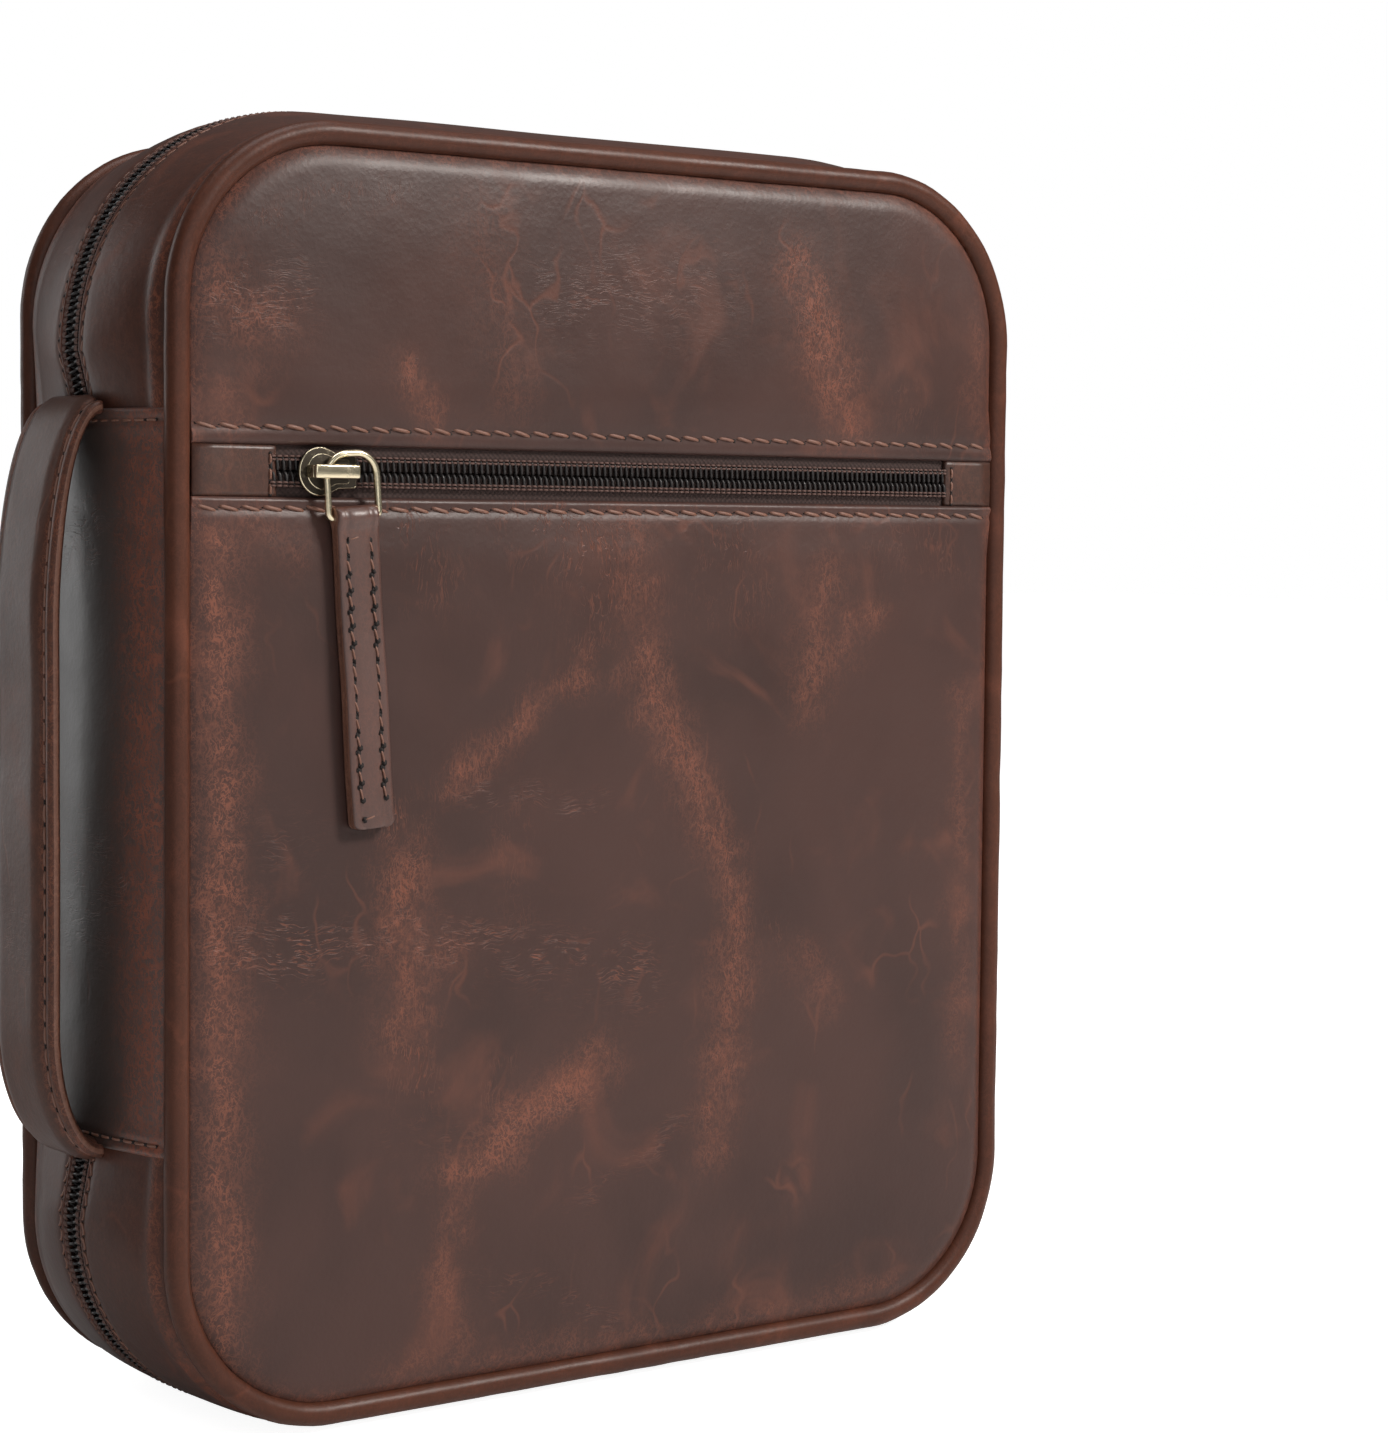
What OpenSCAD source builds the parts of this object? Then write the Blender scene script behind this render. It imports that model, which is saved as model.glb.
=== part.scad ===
// Zip-round leather Bible case with a carrying handle, a zipped outer pocket and the Bible it holds.
// It stands upright on its base. The spine is at -X, the front cover faces -Y, and y = 0 is the plane
// of the main zip. All sizes are in millimetres.

/* [Case] */
// Width of the front cover between the piping centre lines
seam_w = 218; // [180:1:262]
// Height of the front cover between the piping centre lines
seam_h = 264; // [220:1:318]
// Depth of the case between the front and back piping
depth = 64; // [53:1:78]
// Corner radius of the piping
corner_r = 36; // [30:1:42]
// How far the side walls swell out past the piping at the zip
side_bulge = 7.5; // [5:0.5:9]
// How far the base wall hangs below the piping
base_bulge = 4; // [3.4:0.2:5]

/* [Leather and linings] */
// Thickness of the case leather
leather_t = 1.8; // [1.4:0.1:2.2]
// Diameter of the piping
piping_d = 5.2; // [4:0.2:6]
// Thickness of the lining fabric
lining_t = 0.8; // [0.6:0.1:1]
// Thickness of the stiffener boards
board_t = 2; // [1.5:0.1:2.5]

/* [Spine and handle] */
// Distance from the seam's end to the spine panel's edge
spine_panel_end = 56.5; // [52:0.5:70]
// How far the spine panel swells out past the piping
spine_bulge = 6.3; // [5:0.1:7.5]
// Width of the handle
handle_w = 26; // [20:1:32]
// Height of the finger gap under the handle
finger_gap = 8.2; // [7:0.1:14]
// Thickness of the handle
handle_t = 4.8; // [4:0.1:6]
// How far the handle's ends lap over the spine panel's edges
handle_lap = 2.6; // [0:0.1:3]

/* [Pocket] */
// Distance from the top seam down to the pocket zip
pocket_drop = 68.8; // [58:0.2:82]
// Height of the opening that shows the pocket zip
window_h = 10.4; // [9.6:0.2:12.4]
// Width of the left end tab
left_tab_w = 19.4; // [16:0.2:26]
// Width of the right end tab
right_tab_w = 14; // [11:0.5:18]
// Room inside the pocket
pocket_room = 2.6; // [2.2:0.1:3.5]

/* [Zips] */
// Width of the closed zip coil
coil_w = 6.2; // [5:0.1:7]
// Height of the zip coil
coil_h = 1.8; // [1.4:0.1:2.2]
// Width of one half of the zip tape
tape_w = 11.5; // [9:0.5:14]
// Length of a zip slider
slider_l = 13.5; // [11:0.5:16]
// Width of a zip slider
slider_w = 10; // [8:0.5:12]
// Diameter of the pull ring's wire
wire_d = 1.5; // [1.2:0.1:1.8]
// Inner width of a pull ring
ring_in = 10.4; // [9:0.1:12.4]
// Length of a pull ring
ring_h = 13; // [11:0.5:15]
// Length of the pocket's leather pull
pocket_pull_l = 64; // [54:1:77]
// Length of the main zip's leather pulls
main_pull_l = 46; // [38:1:55]
// Sideways lean of the pocket pull, in degrees
pull_lean = 4; // [0:0.5:5]

/* [Bible] */
// Room from the piping to the Bible's spine
spine_room = 17; // [16.5:0.5:24]
// Room from the piping to the Bible's fore edge and to its top
book_room = 21; // [21:0.5:40]
// Thickness of a Bible cover board
bible_board_t = 2.4; // [2:0.1:3]
// How far the boards stand out past the pages
bible_square = 4; // [3:0.5:5]
// Thickness of the leaves that turn with the Bible's front cover
leaves_t = 1.8; // [1:0.1:3]

/* [Hidden] */
$fn = 48;

brown = [0.29, 0.19, 0.17];
dark_brown = [0.22, 0.15, 0.13];
red_brown = [0.36, 0.22, 0.18];
black = [0.06, 0.05, 0.05];
brass = [0.82, 0.72, 0.48];
cloth = [0.17, 0.12, 0.10];
paper = [0.93, 0.90, 0.82];
card = [0.45, 0.38, 0.30];
book_black = [0.07, 0.06, 0.06];
ribbon_red = [0.45, 0.08, 0.08];

clear = 0.3;                       // gap between pieces of different bodies
half = depth / 2;
seam_x = seam_w / 2;
seam_lo = base_bulge;
seam_hi = seam_lo + seam_h;
mid_z = (seam_lo + seam_hi) / 2;
piping_r = piping_d / 2;
seam_gap = piping_r + 0.1;         // from the piping's centre to the panels and walls beside it
slot_half = coil_w / 2 + 0.5;      // half the slot between the leather edges along the main zip
tape_t = 0.6;
crest_x = seam_x + side_bulge;     // the walls' furthest line, along the zip
panel_lo = seam_lo + spine_panel_end;
panel_hi = seam_hi - spine_panel_end;
crest_end = spine_bulge - 1.8;     // swell of the walls where they meet the spine panel
crest_top_r = corner_r + 16;
crest_base_r = corner_r + 9;

// ---- Walls: bands that follow the swelling side wall all round, open at the spine panel ----

function arc_points(cx, cz, r, a0, a1, n) =
    [for (k = [0:n]) let (a = a0 + (a1 - a0) * k / n) [cx + r * cos(a), cz + r * sin(a)]];

function inner_points(a, b, n) = [for (k = [1:n - 1]) a + (b - a) * k / n];

corner_steps = 9;
side_steps = 5;

// Outline seen from the front, from the spine panel's top edge clockwise to its lower edge.
function outline(hw, lo, hi, r_top, r_base, end_x, end_gap) =
    let (tl = arc_points(-hw + r_top, hi - r_top, r_top, 180, 90, corner_steps),
         tr = arc_points(hw - r_top, hi - r_top, r_top, 90, 0, corner_steps),
         br = arc_points(hw - r_base, lo + r_base, r_base, 0, -90, corner_steps),
         bl = arc_points(-hw + r_base, lo + r_base, r_base, -90, -180, corner_steps))
    concat([[-end_x, panel_hi + end_gap]], tl,
           inner_points(tl[corner_steps], tr[0], side_steps), tr,
           inner_points(tr[corner_steps], br[0], side_steps), br,
           inner_points(br[corner_steps], bl[0], side_steps), bl,
           [[-end_x, panel_lo - end_gap]]);

function seam_outline(inset) =
    outline(seam_x - inset, seam_lo + inset, seam_hi - inset, corner_r - inset, corner_r - inset,
            seam_x - inset, clear);

function crest_outline(inset) =
    outline(crest_x - inset, inset, seam_hi + side_bulge - inset, crest_top_r - inset,
            crest_base_r - inset, seam_x + crest_end - inset, clear);

ring_count = 4 * (corner_steps + 1) + 3 * (side_steps - 1) + 2;
base_first = 3 * (corner_steps + 1) + 2 * (side_steps - 1);   // first ring on the flat base
base_last = base_first + side_steps;

// 1 along the flat base, falling to 0 round the two lower corners
function base_share(i) =
    i < base_first ? max(0, 1 - (base_first - i) / corner_steps)
    : i > base_last ? max(0, 1 - (i - base_last) / corner_steps) : 1;

// How far a wall has swelled from the seam, 0, to its crest, 1, at distance y from the zip's plane
function swell(y, i) =
    let (u = min(1, max(0, (half - y) / (half - slot_half))), f = base_share(i))
    (1 - f) * sin(90 * u) + f * min(1, 3.6 * u);

// A strip of the front wall from y_seam to y_zip, between depths top and bottom under its surface
module front_band(y_seam, y_zip, top, bottom, cuts) {
    seam_out = seam_outline(top);
    crest_out = crest_outline(top);
    seam_in = seam_outline(bottom);
    crest_in = crest_outline(bottom);
    ys = [for (k = [0:cuts]) y_seam + (y_zip - y_seam) * k / cuts];
    function place(s, c, y, i) =
        let (p = s[i] + (c[i] - s[i]) * swell(y, i)) [p[0], -y, p[1]];
    points = [for (i = [0:ring_count - 1]) each concat(
        [for (k = [0:cuts]) place(seam_out, crest_out, ys[k], i)],
        [for (k = [cuts:-1:0]) place(seam_in, crest_in, ys[k], i)])];
    n = 2 * (cuts + 1);
    last = (ring_count - 1) * n;
    faces = concat(
        [[for (j = [n - 1:-1:0]) j]],
        [[for (j = [0:n - 1]) last + j]],
        [for (i = [0:ring_count - 2]) for (j = [0:n - 1]) let (a = i * n + j, b = i * n + (j + 1) % n)
            each [[a, b, b + n], [a, b + n, a + n]]]);
    polyhedron(points, faces, convexity = 8);
}

module back_band(y_seam, y_zip, top, bottom, cuts) {
    mirror([0, 1, 0]) front_band(y_seam, y_zip, top, bottom, cuts);
}

wall_y = half - seam_gap;          // the walls start beside the piping
tape_top = leather_t;              // the zip tape lies under the leather edges
coil_top = max(0, leather_t - coil_h);
coil_gap = 0.3;                    // half the slit between the two coils, where a slider's web runs

// ---- Flat plates with round corners, standing in the XZ plane ----

module round_rect(x0, x1, z0, z1, r) {
    translate([x0 + r, z0]) square([x1 - x0 - 2 * r, z1 - z0]);
    translate([x0, z0 + r]) square([x1 - x0, z1 - z0 - 2 * r]);
    for (x = [x0 + r, x1 - r], z = [z0 + r, z1 - r]) translate([x, z]) circle(r);
}

// Stands a shape drawn in x and z up, and gives it thickness from y0 to y1
module upright(y0, y1) {
    translate([0, y1, 0]) rotate([90, 0, 0]) linear_extrude(y1 - y0) children();
}

module seam_plate(inset, y0, y1) {
    upright(y0, y1)
        round_rect(-seam_x + inset, seam_x - inset, seam_lo + inset, seam_hi - inset, corner_r - inset);
}

module piping_loop(y) {
    straight_w = seam_w - 2 * corner_r;
    straight_h = seam_h - 2 * corner_r;
    for (z = [seam_lo, seam_hi])
        translate([-straight_w / 2, y, z]) rotate([0, 90, 0]) cylinder(d = piping_d, h = straight_w);
    for (x = [-seam_x, seam_x])
        translate([x, y, mid_z - straight_h / 2]) cylinder(d = piping_d, h = straight_h);
    for (q = [0:3]) {
        sx = (q == 0 || q == 3) ? 1 : -1;
        sz = q < 2 ? 1 : -1;
        translate([sx * straight_w / 2, y, mid_z + sz * straight_h / 2]) rotate([90, 0, 0])
            rotate([0, 0, q * 90]) rotate_extrude(angle = 90) translate([corner_r, 0]) circle(d = piping_d);
    }
}

// ---- Stack of layers through the two covers, each a distance from the zip's plane ----

panel_out = half + 2;                             // outer face of the cover leather
panel_in = panel_out - leather_t;
front_backing_out = panel_in - pocket_room;
front_board_out = front_backing_out - lining_t;
front_lining_out = front_board_out - board_t;
front_lining_in = front_lining_out - lining_t;
back_lining_out = panel_in - board_t;
back_lining_in = back_lining_out - lining_t;
sleeve_room = bible_board_t + 2 * clear;          // a Bible board slides between lining and sleeve
front_sleeve_in = front_lining_in - sleeve_room - lining_t;
back_sleeve_in = back_lining_in - sleeve_room - lining_t;
leaves_y0 = -front_sleeve_in + 1.2;
leaves_y1 = leaves_y0 + leaves_t;
block_y0 = leaves_y1 + clear;
block_y1 = back_sleeve_in - clear;

// ---- Pocket on the front cover ----

zip_z = seam_hi - pocket_drop;
window_lo = zip_z - window_h / 2;
window_hi = zip_z + window_h / 2;
window_x0 = -seam_x + seam_gap + left_tab_w;
window_x1 = seam_x - seam_gap - right_tab_w;
pocket_tape_half = window_h / 2 + 3;
tab_t = 1.2;

module front_leather(z0, z1) {
    intersection() {
        seam_plate(seam_gap, -panel_out, -panel_in);
        translate([-seam_x, -panel_out - 1, z0]) cube([seam_w, leather_t + 2, z1 - z0]);
    }
}

module front_panel_upper() { color(brown) front_leather(window_hi, seam_hi); }
module front_pocket_panel() { color(brown) front_leather(seam_lo, window_lo); }

module pocket_end_tabs() {
    color(red_brown) {
        upright(-panel_in - tab_t, -panel_in) {
            translate([-seam_x + seam_gap, window_lo]) square([left_tab_w, window_h]);
            translate([window_x1, window_lo]) square([right_tab_w, window_h]);
        }
    }
}

module pocket_zip_tape() {
    color(black) upright(-panel_in, -panel_in + tape_t) difference() {
        translate([window_x0 - 6, zip_z - pocket_tape_half])
            square([window_x1 - window_x0 + 12, 2 * pocket_tape_half]);
        translate([window_x0, zip_z - coil_gap]) square([window_x1 - window_x0, 2 * coil_gap]);
    }
}

module pocket_zip_coil() {
    color(black) upright(-panel_in - coil_h, -panel_in)
        for (z = [zip_z - coil_w / 2, zip_z + coil_gap])
            translate([window_x0, z]) square([window_x1 - window_x0, coil_w / 2 - coil_gap]);
}

module pocket_backing() { color(cloth) seam_plate(seam_gap + 2, -front_backing_out, -front_board_out); }

// ---- Covers ----

module front_piping() { color(red_brown) piping_loop(-half); }
module back_piping() { color(red_brown) piping_loop(half); }
module back_panel() { color(brown) seam_plate(seam_gap, panel_in, panel_out); }

module front_gusset() { color(brown) front_band(wall_y, slot_half, 0, leather_t, 6); }
module back_gusset() { color(brown) back_band(wall_y, slot_half, 0, leather_t, 6); }

lining_y = wall_y - 1;
lining_zip_y = tape_w + clear;     // the wall's lining stops at the zip tape's edge
module front_gusset_lining() {
    color(cloth) front_band(lining_y, lining_zip_y, leather_t, leather_t + lining_t, 3);
}
module back_gusset_lining() {
    color(cloth) back_band(lining_y, lining_zip_y, leather_t, leather_t + lining_t, 3);
}

module front_zip_tape() { color(black) front_band(tape_w, coil_gap, tape_top, tape_top + tape_t, 1); }
module back_zip_tape() { color(black) back_band(tape_w, coil_gap, tape_top, tape_top + tape_t, 1); }
module front_zip_coil() { color(black) front_band(coil_w / 2, coil_gap, coil_top, tape_top, 1); }
module back_zip_coil() { color(black) back_band(coil_w / 2, coil_gap, coil_top, tape_top, 1); }

inner_inset = seam_gap + 2;        // boards and linings stop short of the seam allowance
module front_board() { color(card) seam_plate(inner_inset, -front_board_out, -front_lining_out); }
module front_lining() { color(cloth) seam_plate(inner_inset, -front_lining_out, -front_lining_in); }
module back_board() { color(card) seam_plate(inner_inset, back_lining_out, panel_in); }
module back_lining() { color(cloth) seam_plate(inner_inset, back_lining_in, back_lining_out); }

// A sleeve is a flat pocket over the outer part of a cover's lining, open towards the spine. Its hem
// runs round the other three sides.
sleeve_w = 92;
sleeve_inset = inner_inset + 1;
hem_w = 1;
module sleeve(lining_y, sleeve_in) {
    sleeve_out = sleeve_in + lining_t;
    intersection() {
        difference() {
            seam_plate(sleeve_inset, -lining_y, -sleeve_in);
            seam_plate(sleeve_inset + hem_w, -lining_y - 1, -sleeve_out);
        }
        translate([seam_x - sleeve_inset - sleeve_w, -half, 0]) cube([sleeve_w, half, seam_hi]);
    }
}
module front_sleeve() { color(cloth) sleeve(front_lining_in, front_sleeve_in); }
module back_sleeve() { color(cloth) mirror([0, 1, 0]) sleeve(back_lining_in, back_sleeve_in); }

// ---- Spine panel, a curved strap of leather over both walls, and its lining ----

panel_edge = 1.3;                  // swell of the spine panel beside the piping
function spine_curve(inset, n) = [for (k = [-n:n]) let (y = wall_y * k / n)
    [-(seam_x + panel_edge + (spine_bulge - panel_edge) * cos(90 * k / n) - inset), y]];

module spine_strip(out_inset, in_inset, z0, z1) {
    n = 9;
    translate([0, 0, z0]) linear_extrude(z1 - z0)
        polygon(concat(spine_curve(out_inset, n), [for (k = [2 * n:-1:0]) spine_curve(in_inset, n)[k]]));
}

module spine_panel() { color(brown) spine_strip(0, leather_t, panel_lo, panel_hi); }
module spine_lining() { color(cloth) spine_strip(leather_t, leather_t + lining_t, panel_lo, panel_hi); }

// ---- Handle: a padded strap in a long arch, sewn to the spine panel at both ends ----

strap_t = 1.6;
handle_foot_x = -(seam_x + spine_bulge) - 0.1;
handle_rise = finger_gap + handle_t / 2;      // from the foot to the strap's centre line
handle_top = panel_hi + handle_lap - handle_t / 2;
handle_low = panel_lo - handle_lap + handle_t / 2;
arch_top = 46;
arch_low = 26;
arch_steps = 12;

// One face of the arch: two quarter ellipses joined by a straight, off outwards from the centre line
function arch_face(off) = concat(
    [for (k = [arch_steps:-1:0]) let (a = 90 * k / arch_steps)
        [handle_foot_x - (handle_rise + off) * cos(a), handle_top - arch_top + (arch_top + off) * sin(a)]],
    [for (k = [0:arch_steps]) let (a = 90 * k / arch_steps)
        [handle_foot_x - (handle_rise + off) * cos(a), handle_low + arch_low - (arch_low + off) * sin(a)]]);

module arch_layer(off_in, off_out, width) {
    outer = arch_face(off_out);
    inner = arch_face(off_in);
    upright(-width / 2, width / 2) polygon(concat(outer, [for (k = [len(inner) - 1:-1:0]) inner[k]]));
}

grip_top = handle_top - arch_top * 0.42;
grip_low = handle_low + arch_low * 0.42;
module grip_slab(z0, z1) {
    translate([-seam_x - 80, -handle_w, z0]) cube([100, 2 * handle_w, z1 - z0]);
}

module handle_anchors() {
    color(brown) for (span = [[0, grip_low - clear], [grip_top + clear, seam_hi]])
        intersection() {
            arch_layer(-handle_t / 2, handle_t / 2, handle_w);
            grip_slab(span[0], span[1]);
        }
}

module grip_layer(off_in, off_out, width) {
    intersection() {
        arch_layer(off_in, off_out, width);
        grip_slab(grip_low, grip_top);
    }
}

pad_half = handle_t / 2 - strap_t;
module handle_outer_strap() { color(brown) grip_layer(pad_half, handle_t / 2, handle_w); }
module handle_padding() { color(card) grip_layer(-pad_half, pad_half, handle_w - 11); }
module handle_inner_strap() { color(brown) grip_layer(-handle_t / 2, -pad_half, handle_w); }

// ---- Zip sliders. Drawn with the zip along x, its closed side at +x, and z outwards from the leather ----

plate_lift = 0.2;
plate_t = 1.3;
bridge_gap = wire_d + 1.1;
bridge_t = 1.3;
bridge_w = 2.8;
bridge_l = slider_l - 3;
wire_z = plate_lift + plate_t + bridge_gap / 2;      // height of the ring's wire under the bridge
under_plate = leather_t + tape_t + 0.3;

module slider_outline() {
    head_r = slider_w / 2;
    tail_w = slider_w * 0.68;
    translate([-slider_l / 2 + head_r, 0]) circle(head_r);
    translate([-slider_l / 2 + head_r, 0])
        polygon([[0, head_r], [0, -head_r], [head_r, -tail_w / 2], [head_r, tail_w / 2]]);
    translate([-slider_l / 2 + head_r, -tail_w / 2]) square([slider_l - head_r, tail_w]);
}

// Two plates joined by a thin web, which runs in the slit between the coils
module slider_body() {
    translate([0, 0, plate_lift]) linear_extrude(plate_t) slider_outline();
    translate([0, 0, -under_plate - 1]) linear_extrude(1) slider_outline();
    translate([-slider_l / 2 + 2, -(coil_gap - 0.1), -under_plate - 0.5])
        cube([slider_l - 5, 2 * (coil_gap - 0.1), under_plate + plate_lift + 1]);
}

module slider_bridge() {
    leg = 1.5;
    foot = plate_lift + plate_t;
    for (x = [-bridge_l / 2, bridge_l / 2 - leg])
        translate([x, -bridge_w / 2, foot]) cube([leg, bridge_w, bridge_gap]);
    translate([-bridge_l / 2, -bridge_w / 2, foot + bridge_gap]) cube([bridge_l, bridge_w, bridge_t]);
}

// A closed wire ring drawn in x and y, hanging from y = 0 down, with round upper and lower corners
module wire_ring(w, h, r_top, r_low) {
    for (sx = [-1, 1]) {
        translate([sx * w / 2, -h + r_low, 0]) rotate([-90, 0, 0]) cylinder(d = wire_d, h = h - r_low - r_top);
        translate([sx * (w / 2 - r_top), -r_top, 0]) rotate([0, 0, sx > 0 ? 0 : 90])
            rotate_extrude(angle = 90) translate([r_top, 0]) circle(d = wire_d);
        translate([sx * (w / 2 - r_low), -h + r_low, 0]) rotate([0, 0, sx > 0 ? 270 : 180])
            rotate_extrude(angle = 90) translate([r_low, 0]) circle(d = wire_d);
    }
    if (w > 2 * r_top + 0.1)
        translate([-w / 2 + r_top, 0, 0]) rotate([0, 90, 0]) cylinder(d = wire_d, h = w - 2 * r_top);
    translate([-w / 2 + r_low, -h, 0]) rotate([0, 90, 0]) cylinder(d = wire_d, h = w - 2 * r_low);
}

ring_w = ring_in + wire_d;
ring_low_r = 1.2;
layer_t = 1.5;
pull_w = ring_in - 0.4;
fold_r = wire_d / 2 + 0.1 + layer_t;

// A strap folded round a wire along x at the origin, hanging down -y
module pull_strap(length) {
    tip_r = 1.5;
    difference() {
        union() {
            translate([-pull_w / 2, 0, 0]) rotate([0, 90, 0]) cylinder(r = fold_r, h = pull_w);
            translate([0, 0, -layer_t]) linear_extrude(2 * layer_t) {
                translate([-pull_w / 2, -length + tip_r]) square([pull_w, length - tip_r]);
                translate([-pull_w / 2 + tip_r, -length]) square([pull_w - 2 * tip_r, tip_r]);
                for (sx = [-1, 1]) translate([sx * (pull_w / 2 - tip_r), -length + tip_r]) circle(tip_r);
            }
        }
        translate([-pull_w, 0, 0]) rotate([0, 90, 0]) cylinder(r = wire_d / 2 + 0.1, h = 2 * pull_w);
    }
}

// Pocket slider, at the closed end of the pocket zip
pocket_slider_x = window_x0 + slider_l / 2 + 4;
module at_pocket_slider() {
    translate([pocket_slider_x, -panel_out, zip_z]) rotate([90, 0, 0]) children();
}
module pocket_slider() { color(brass) at_pocket_slider() slider_body(); }
module pocket_slider_bridge() { color(brass) at_pocket_slider() slider_bridge(); }

// The left side of the pocket's ring passes under the bridge, and the ring turns about that side
hook_x = -1;                       // where the wire crosses under the bridge, along the slider
ring_rise = 3.4;                   // how far the ring's top stands above the bridge's middle
pocket_ring_r = 4.8;
module at_pocket_ring() {
    at_pocket_slider() translate([hook_x, 0, wire_z]) rotate([0, 0, pull_lean])
        translate([ring_w / 2 - 0.4, ring_rise, 0]) children();
}
module pocket_pull_ring() { color(brass) at_pocket_ring() wire_ring(ring_w, ring_h, pocket_ring_r, ring_low_r); }
module pocket_pull_strap() {
    color(red_brown) at_pocket_ring() translate([0, -ring_h, 0]) pull_strap(pocket_pull_l);
}

// The main zip's two sliders, head to head on the fore edge
park_gap = 0.6;
slider_pitch = slider_l + park_gap;
module at_main_slider(z, up) {
    translate([crest_x, 0, z]) rotate([0, 90, 0]) rotate([0, 0, up ? 180 : 0]) children();
}
upper_z = mid_z + slider_pitch / 2;
lower_z = mid_z - slider_pitch / 2;
module upper_slider() { color(brass) at_main_slider(upper_z, true) slider_body(); }
module upper_slider_bridge() { color(brass) at_main_slider(upper_z, true) slider_bridge(); }
module lower_slider() { color(brass) at_main_slider(lower_z, false) slider_body(); }
module lower_slider_bridge() { color(brass) at_main_slider(lower_z, false) slider_bridge(); }

// A main pull hangs down the fore edge; lift tips its ring out over whatever is below
module at_main_ring(z, lift) {
    translate([crest_x + wire_z, 0, z]) rotate([0, -lift, 0]) rotate([90, 0, 90]) children();
}
upper_lift = 24;
main_ring_r = 2;
module main_ring(z, lift) { at_main_ring(z, lift) wire_ring(ring_w, ring_h, main_ring_r, ring_low_r); }
module main_strap(z, lift) {
    translate([crest_x + wire_z + ring_h * sin(lift), 0, z - ring_h * cos(lift)]) rotate([90, 0, 90])
        pull_strap(main_pull_l);
}
module upper_pull_ring() { color(brass) main_ring(upper_z, upper_lift); }
module upper_pull_strap() { color(red_brown) main_strap(upper_z, upper_lift); }
module lower_pull_ring() { color(brass) main_ring(lower_z, 0); }
module lower_pull_strap() { color(red_brown) main_strap(lower_z, 0); }

// ---- The Bible: it stands in the back cover, with its back board in the sleeve ----

book_x0 = -seam_x + spine_room;    // outer face of the Bible's spine
book_spine_t = 1.6;
book_lo = seam_lo + sleeve_inset + hem_w + clear;  // the boards stand on the sleeves' hems
book_hi = seam_hi - book_room;
book_x1 = seam_x - book_room;      // fore edge of the boards
groove = 7;                        // from the spine to the boards' edge, where the cover bends
page_x0 = book_x0 + book_spine_t + 0.4;
page_x1 = book_x1 - bible_square;
page_lo = book_lo + bible_square;
page_hi = book_hi - bible_square;
page_r = max(6, corner_r - 27);
cover_r = page_r + bible_square;

module book_board(y0, y1) {
    intersection() {
        upright(y0, y1) round_rect(book_x0, book_x1, book_lo, book_hi, cover_r);
        translate([book_x0 + groove, -half, 0]) cube([seam_w, depth, seam_hi]);
    }
}

module pages(y0, y1) {
    upright(y0, y1) {
        round_rect(page_x1 - 40, page_x1, page_lo, page_hi, page_r);
        translate([page_x0, page_lo]) square([page_x1 - 20 - page_x0, page_hi - page_lo]);
    }
}

module bible_text_block() { color(paper) pages(block_y0, block_y1); }
module bible_turning_leaves() {
    color(paper) intersection() {
        pages(leaves_y0, leaves_y1);
        translate([page_x0 + 1, -half, 0]) cube([seam_w, depth, seam_hi]);
    }
}
board_back_y = back_lining_in - clear;
board_front_y = -front_lining_in + clear;
module bible_back_cover() { color(book_black) book_board(board_back_y - bible_board_t, board_back_y); }
module bible_front_cover() { color(book_black) book_board(board_front_y, board_front_y + bible_board_t); }
// The spine is glued to the back of the pages, and is a little shorter than the boards
spine_short = 3;
module bible_spine() {
    y0 = block_y0 + 0.4;
    color(book_black) translate([book_x0, y0, book_lo + spine_short])
        cube([book_spine_t, board_back_y - y0, book_hi - book_lo - 2 * spine_short]);
}

headband_d = 2.4;
module bible_headbands() {
    color(red_brown) for (z = [page_lo - headband_d / 2, page_hi + headband_d / 2])
        translate([page_x0 + headband_d / 2, block_y0 + 1, z]) rotate([-90, 0, 0])
            cylinder(d = headband_d - 0.1, h = block_y1 - block_y0 - 2);
}

// The end of a ribbon marker, hanging out below the pages
ribbon_w = 6;
ribbon_out = 9;
module bible_ribbon() {
    color(ribbon_red) translate([page_x0 + 60, (block_y0 + block_y1) / 2, page_lo - ribbon_out])
        cube([ribbon_w, 0.6, ribbon_out]);
}

back_panel();
back_piping();
back_gusset();
back_gusset_lining();
back_board();
back_lining();
back_sleeve();
back_zip_tape();
back_zip_coil();
front_panel_upper();
front_pocket_panel();
pocket_end_tabs();
pocket_zip_tape();
pocket_zip_coil();
pocket_backing();
front_piping();
front_gusset();
front_gusset_lining();
front_board();
front_lining();
front_sleeve();
front_zip_tape();
front_zip_coil();
spine_panel();
spine_lining();
handle_anchors();
handle_outer_strap();
handle_padding();
handle_inner_strap();
pocket_slider();
pocket_slider_bridge();
pocket_pull_ring();
pocket_pull_strap();
upper_slider();
upper_slider_bridge();
upper_pull_ring();
upper_pull_strap();
lower_slider();
lower_slider_bridge();
lower_pull_ring();
lower_pull_strap();
bible_text_block();
bible_spine();
bible_back_cover();
bible_headbands();
bible_ribbon();
bible_front_cover();
bible_turning_leaves();
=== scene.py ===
import math

import bmesh
import bpy
import numpy as np
from mathutils import Matrix, Vector


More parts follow.
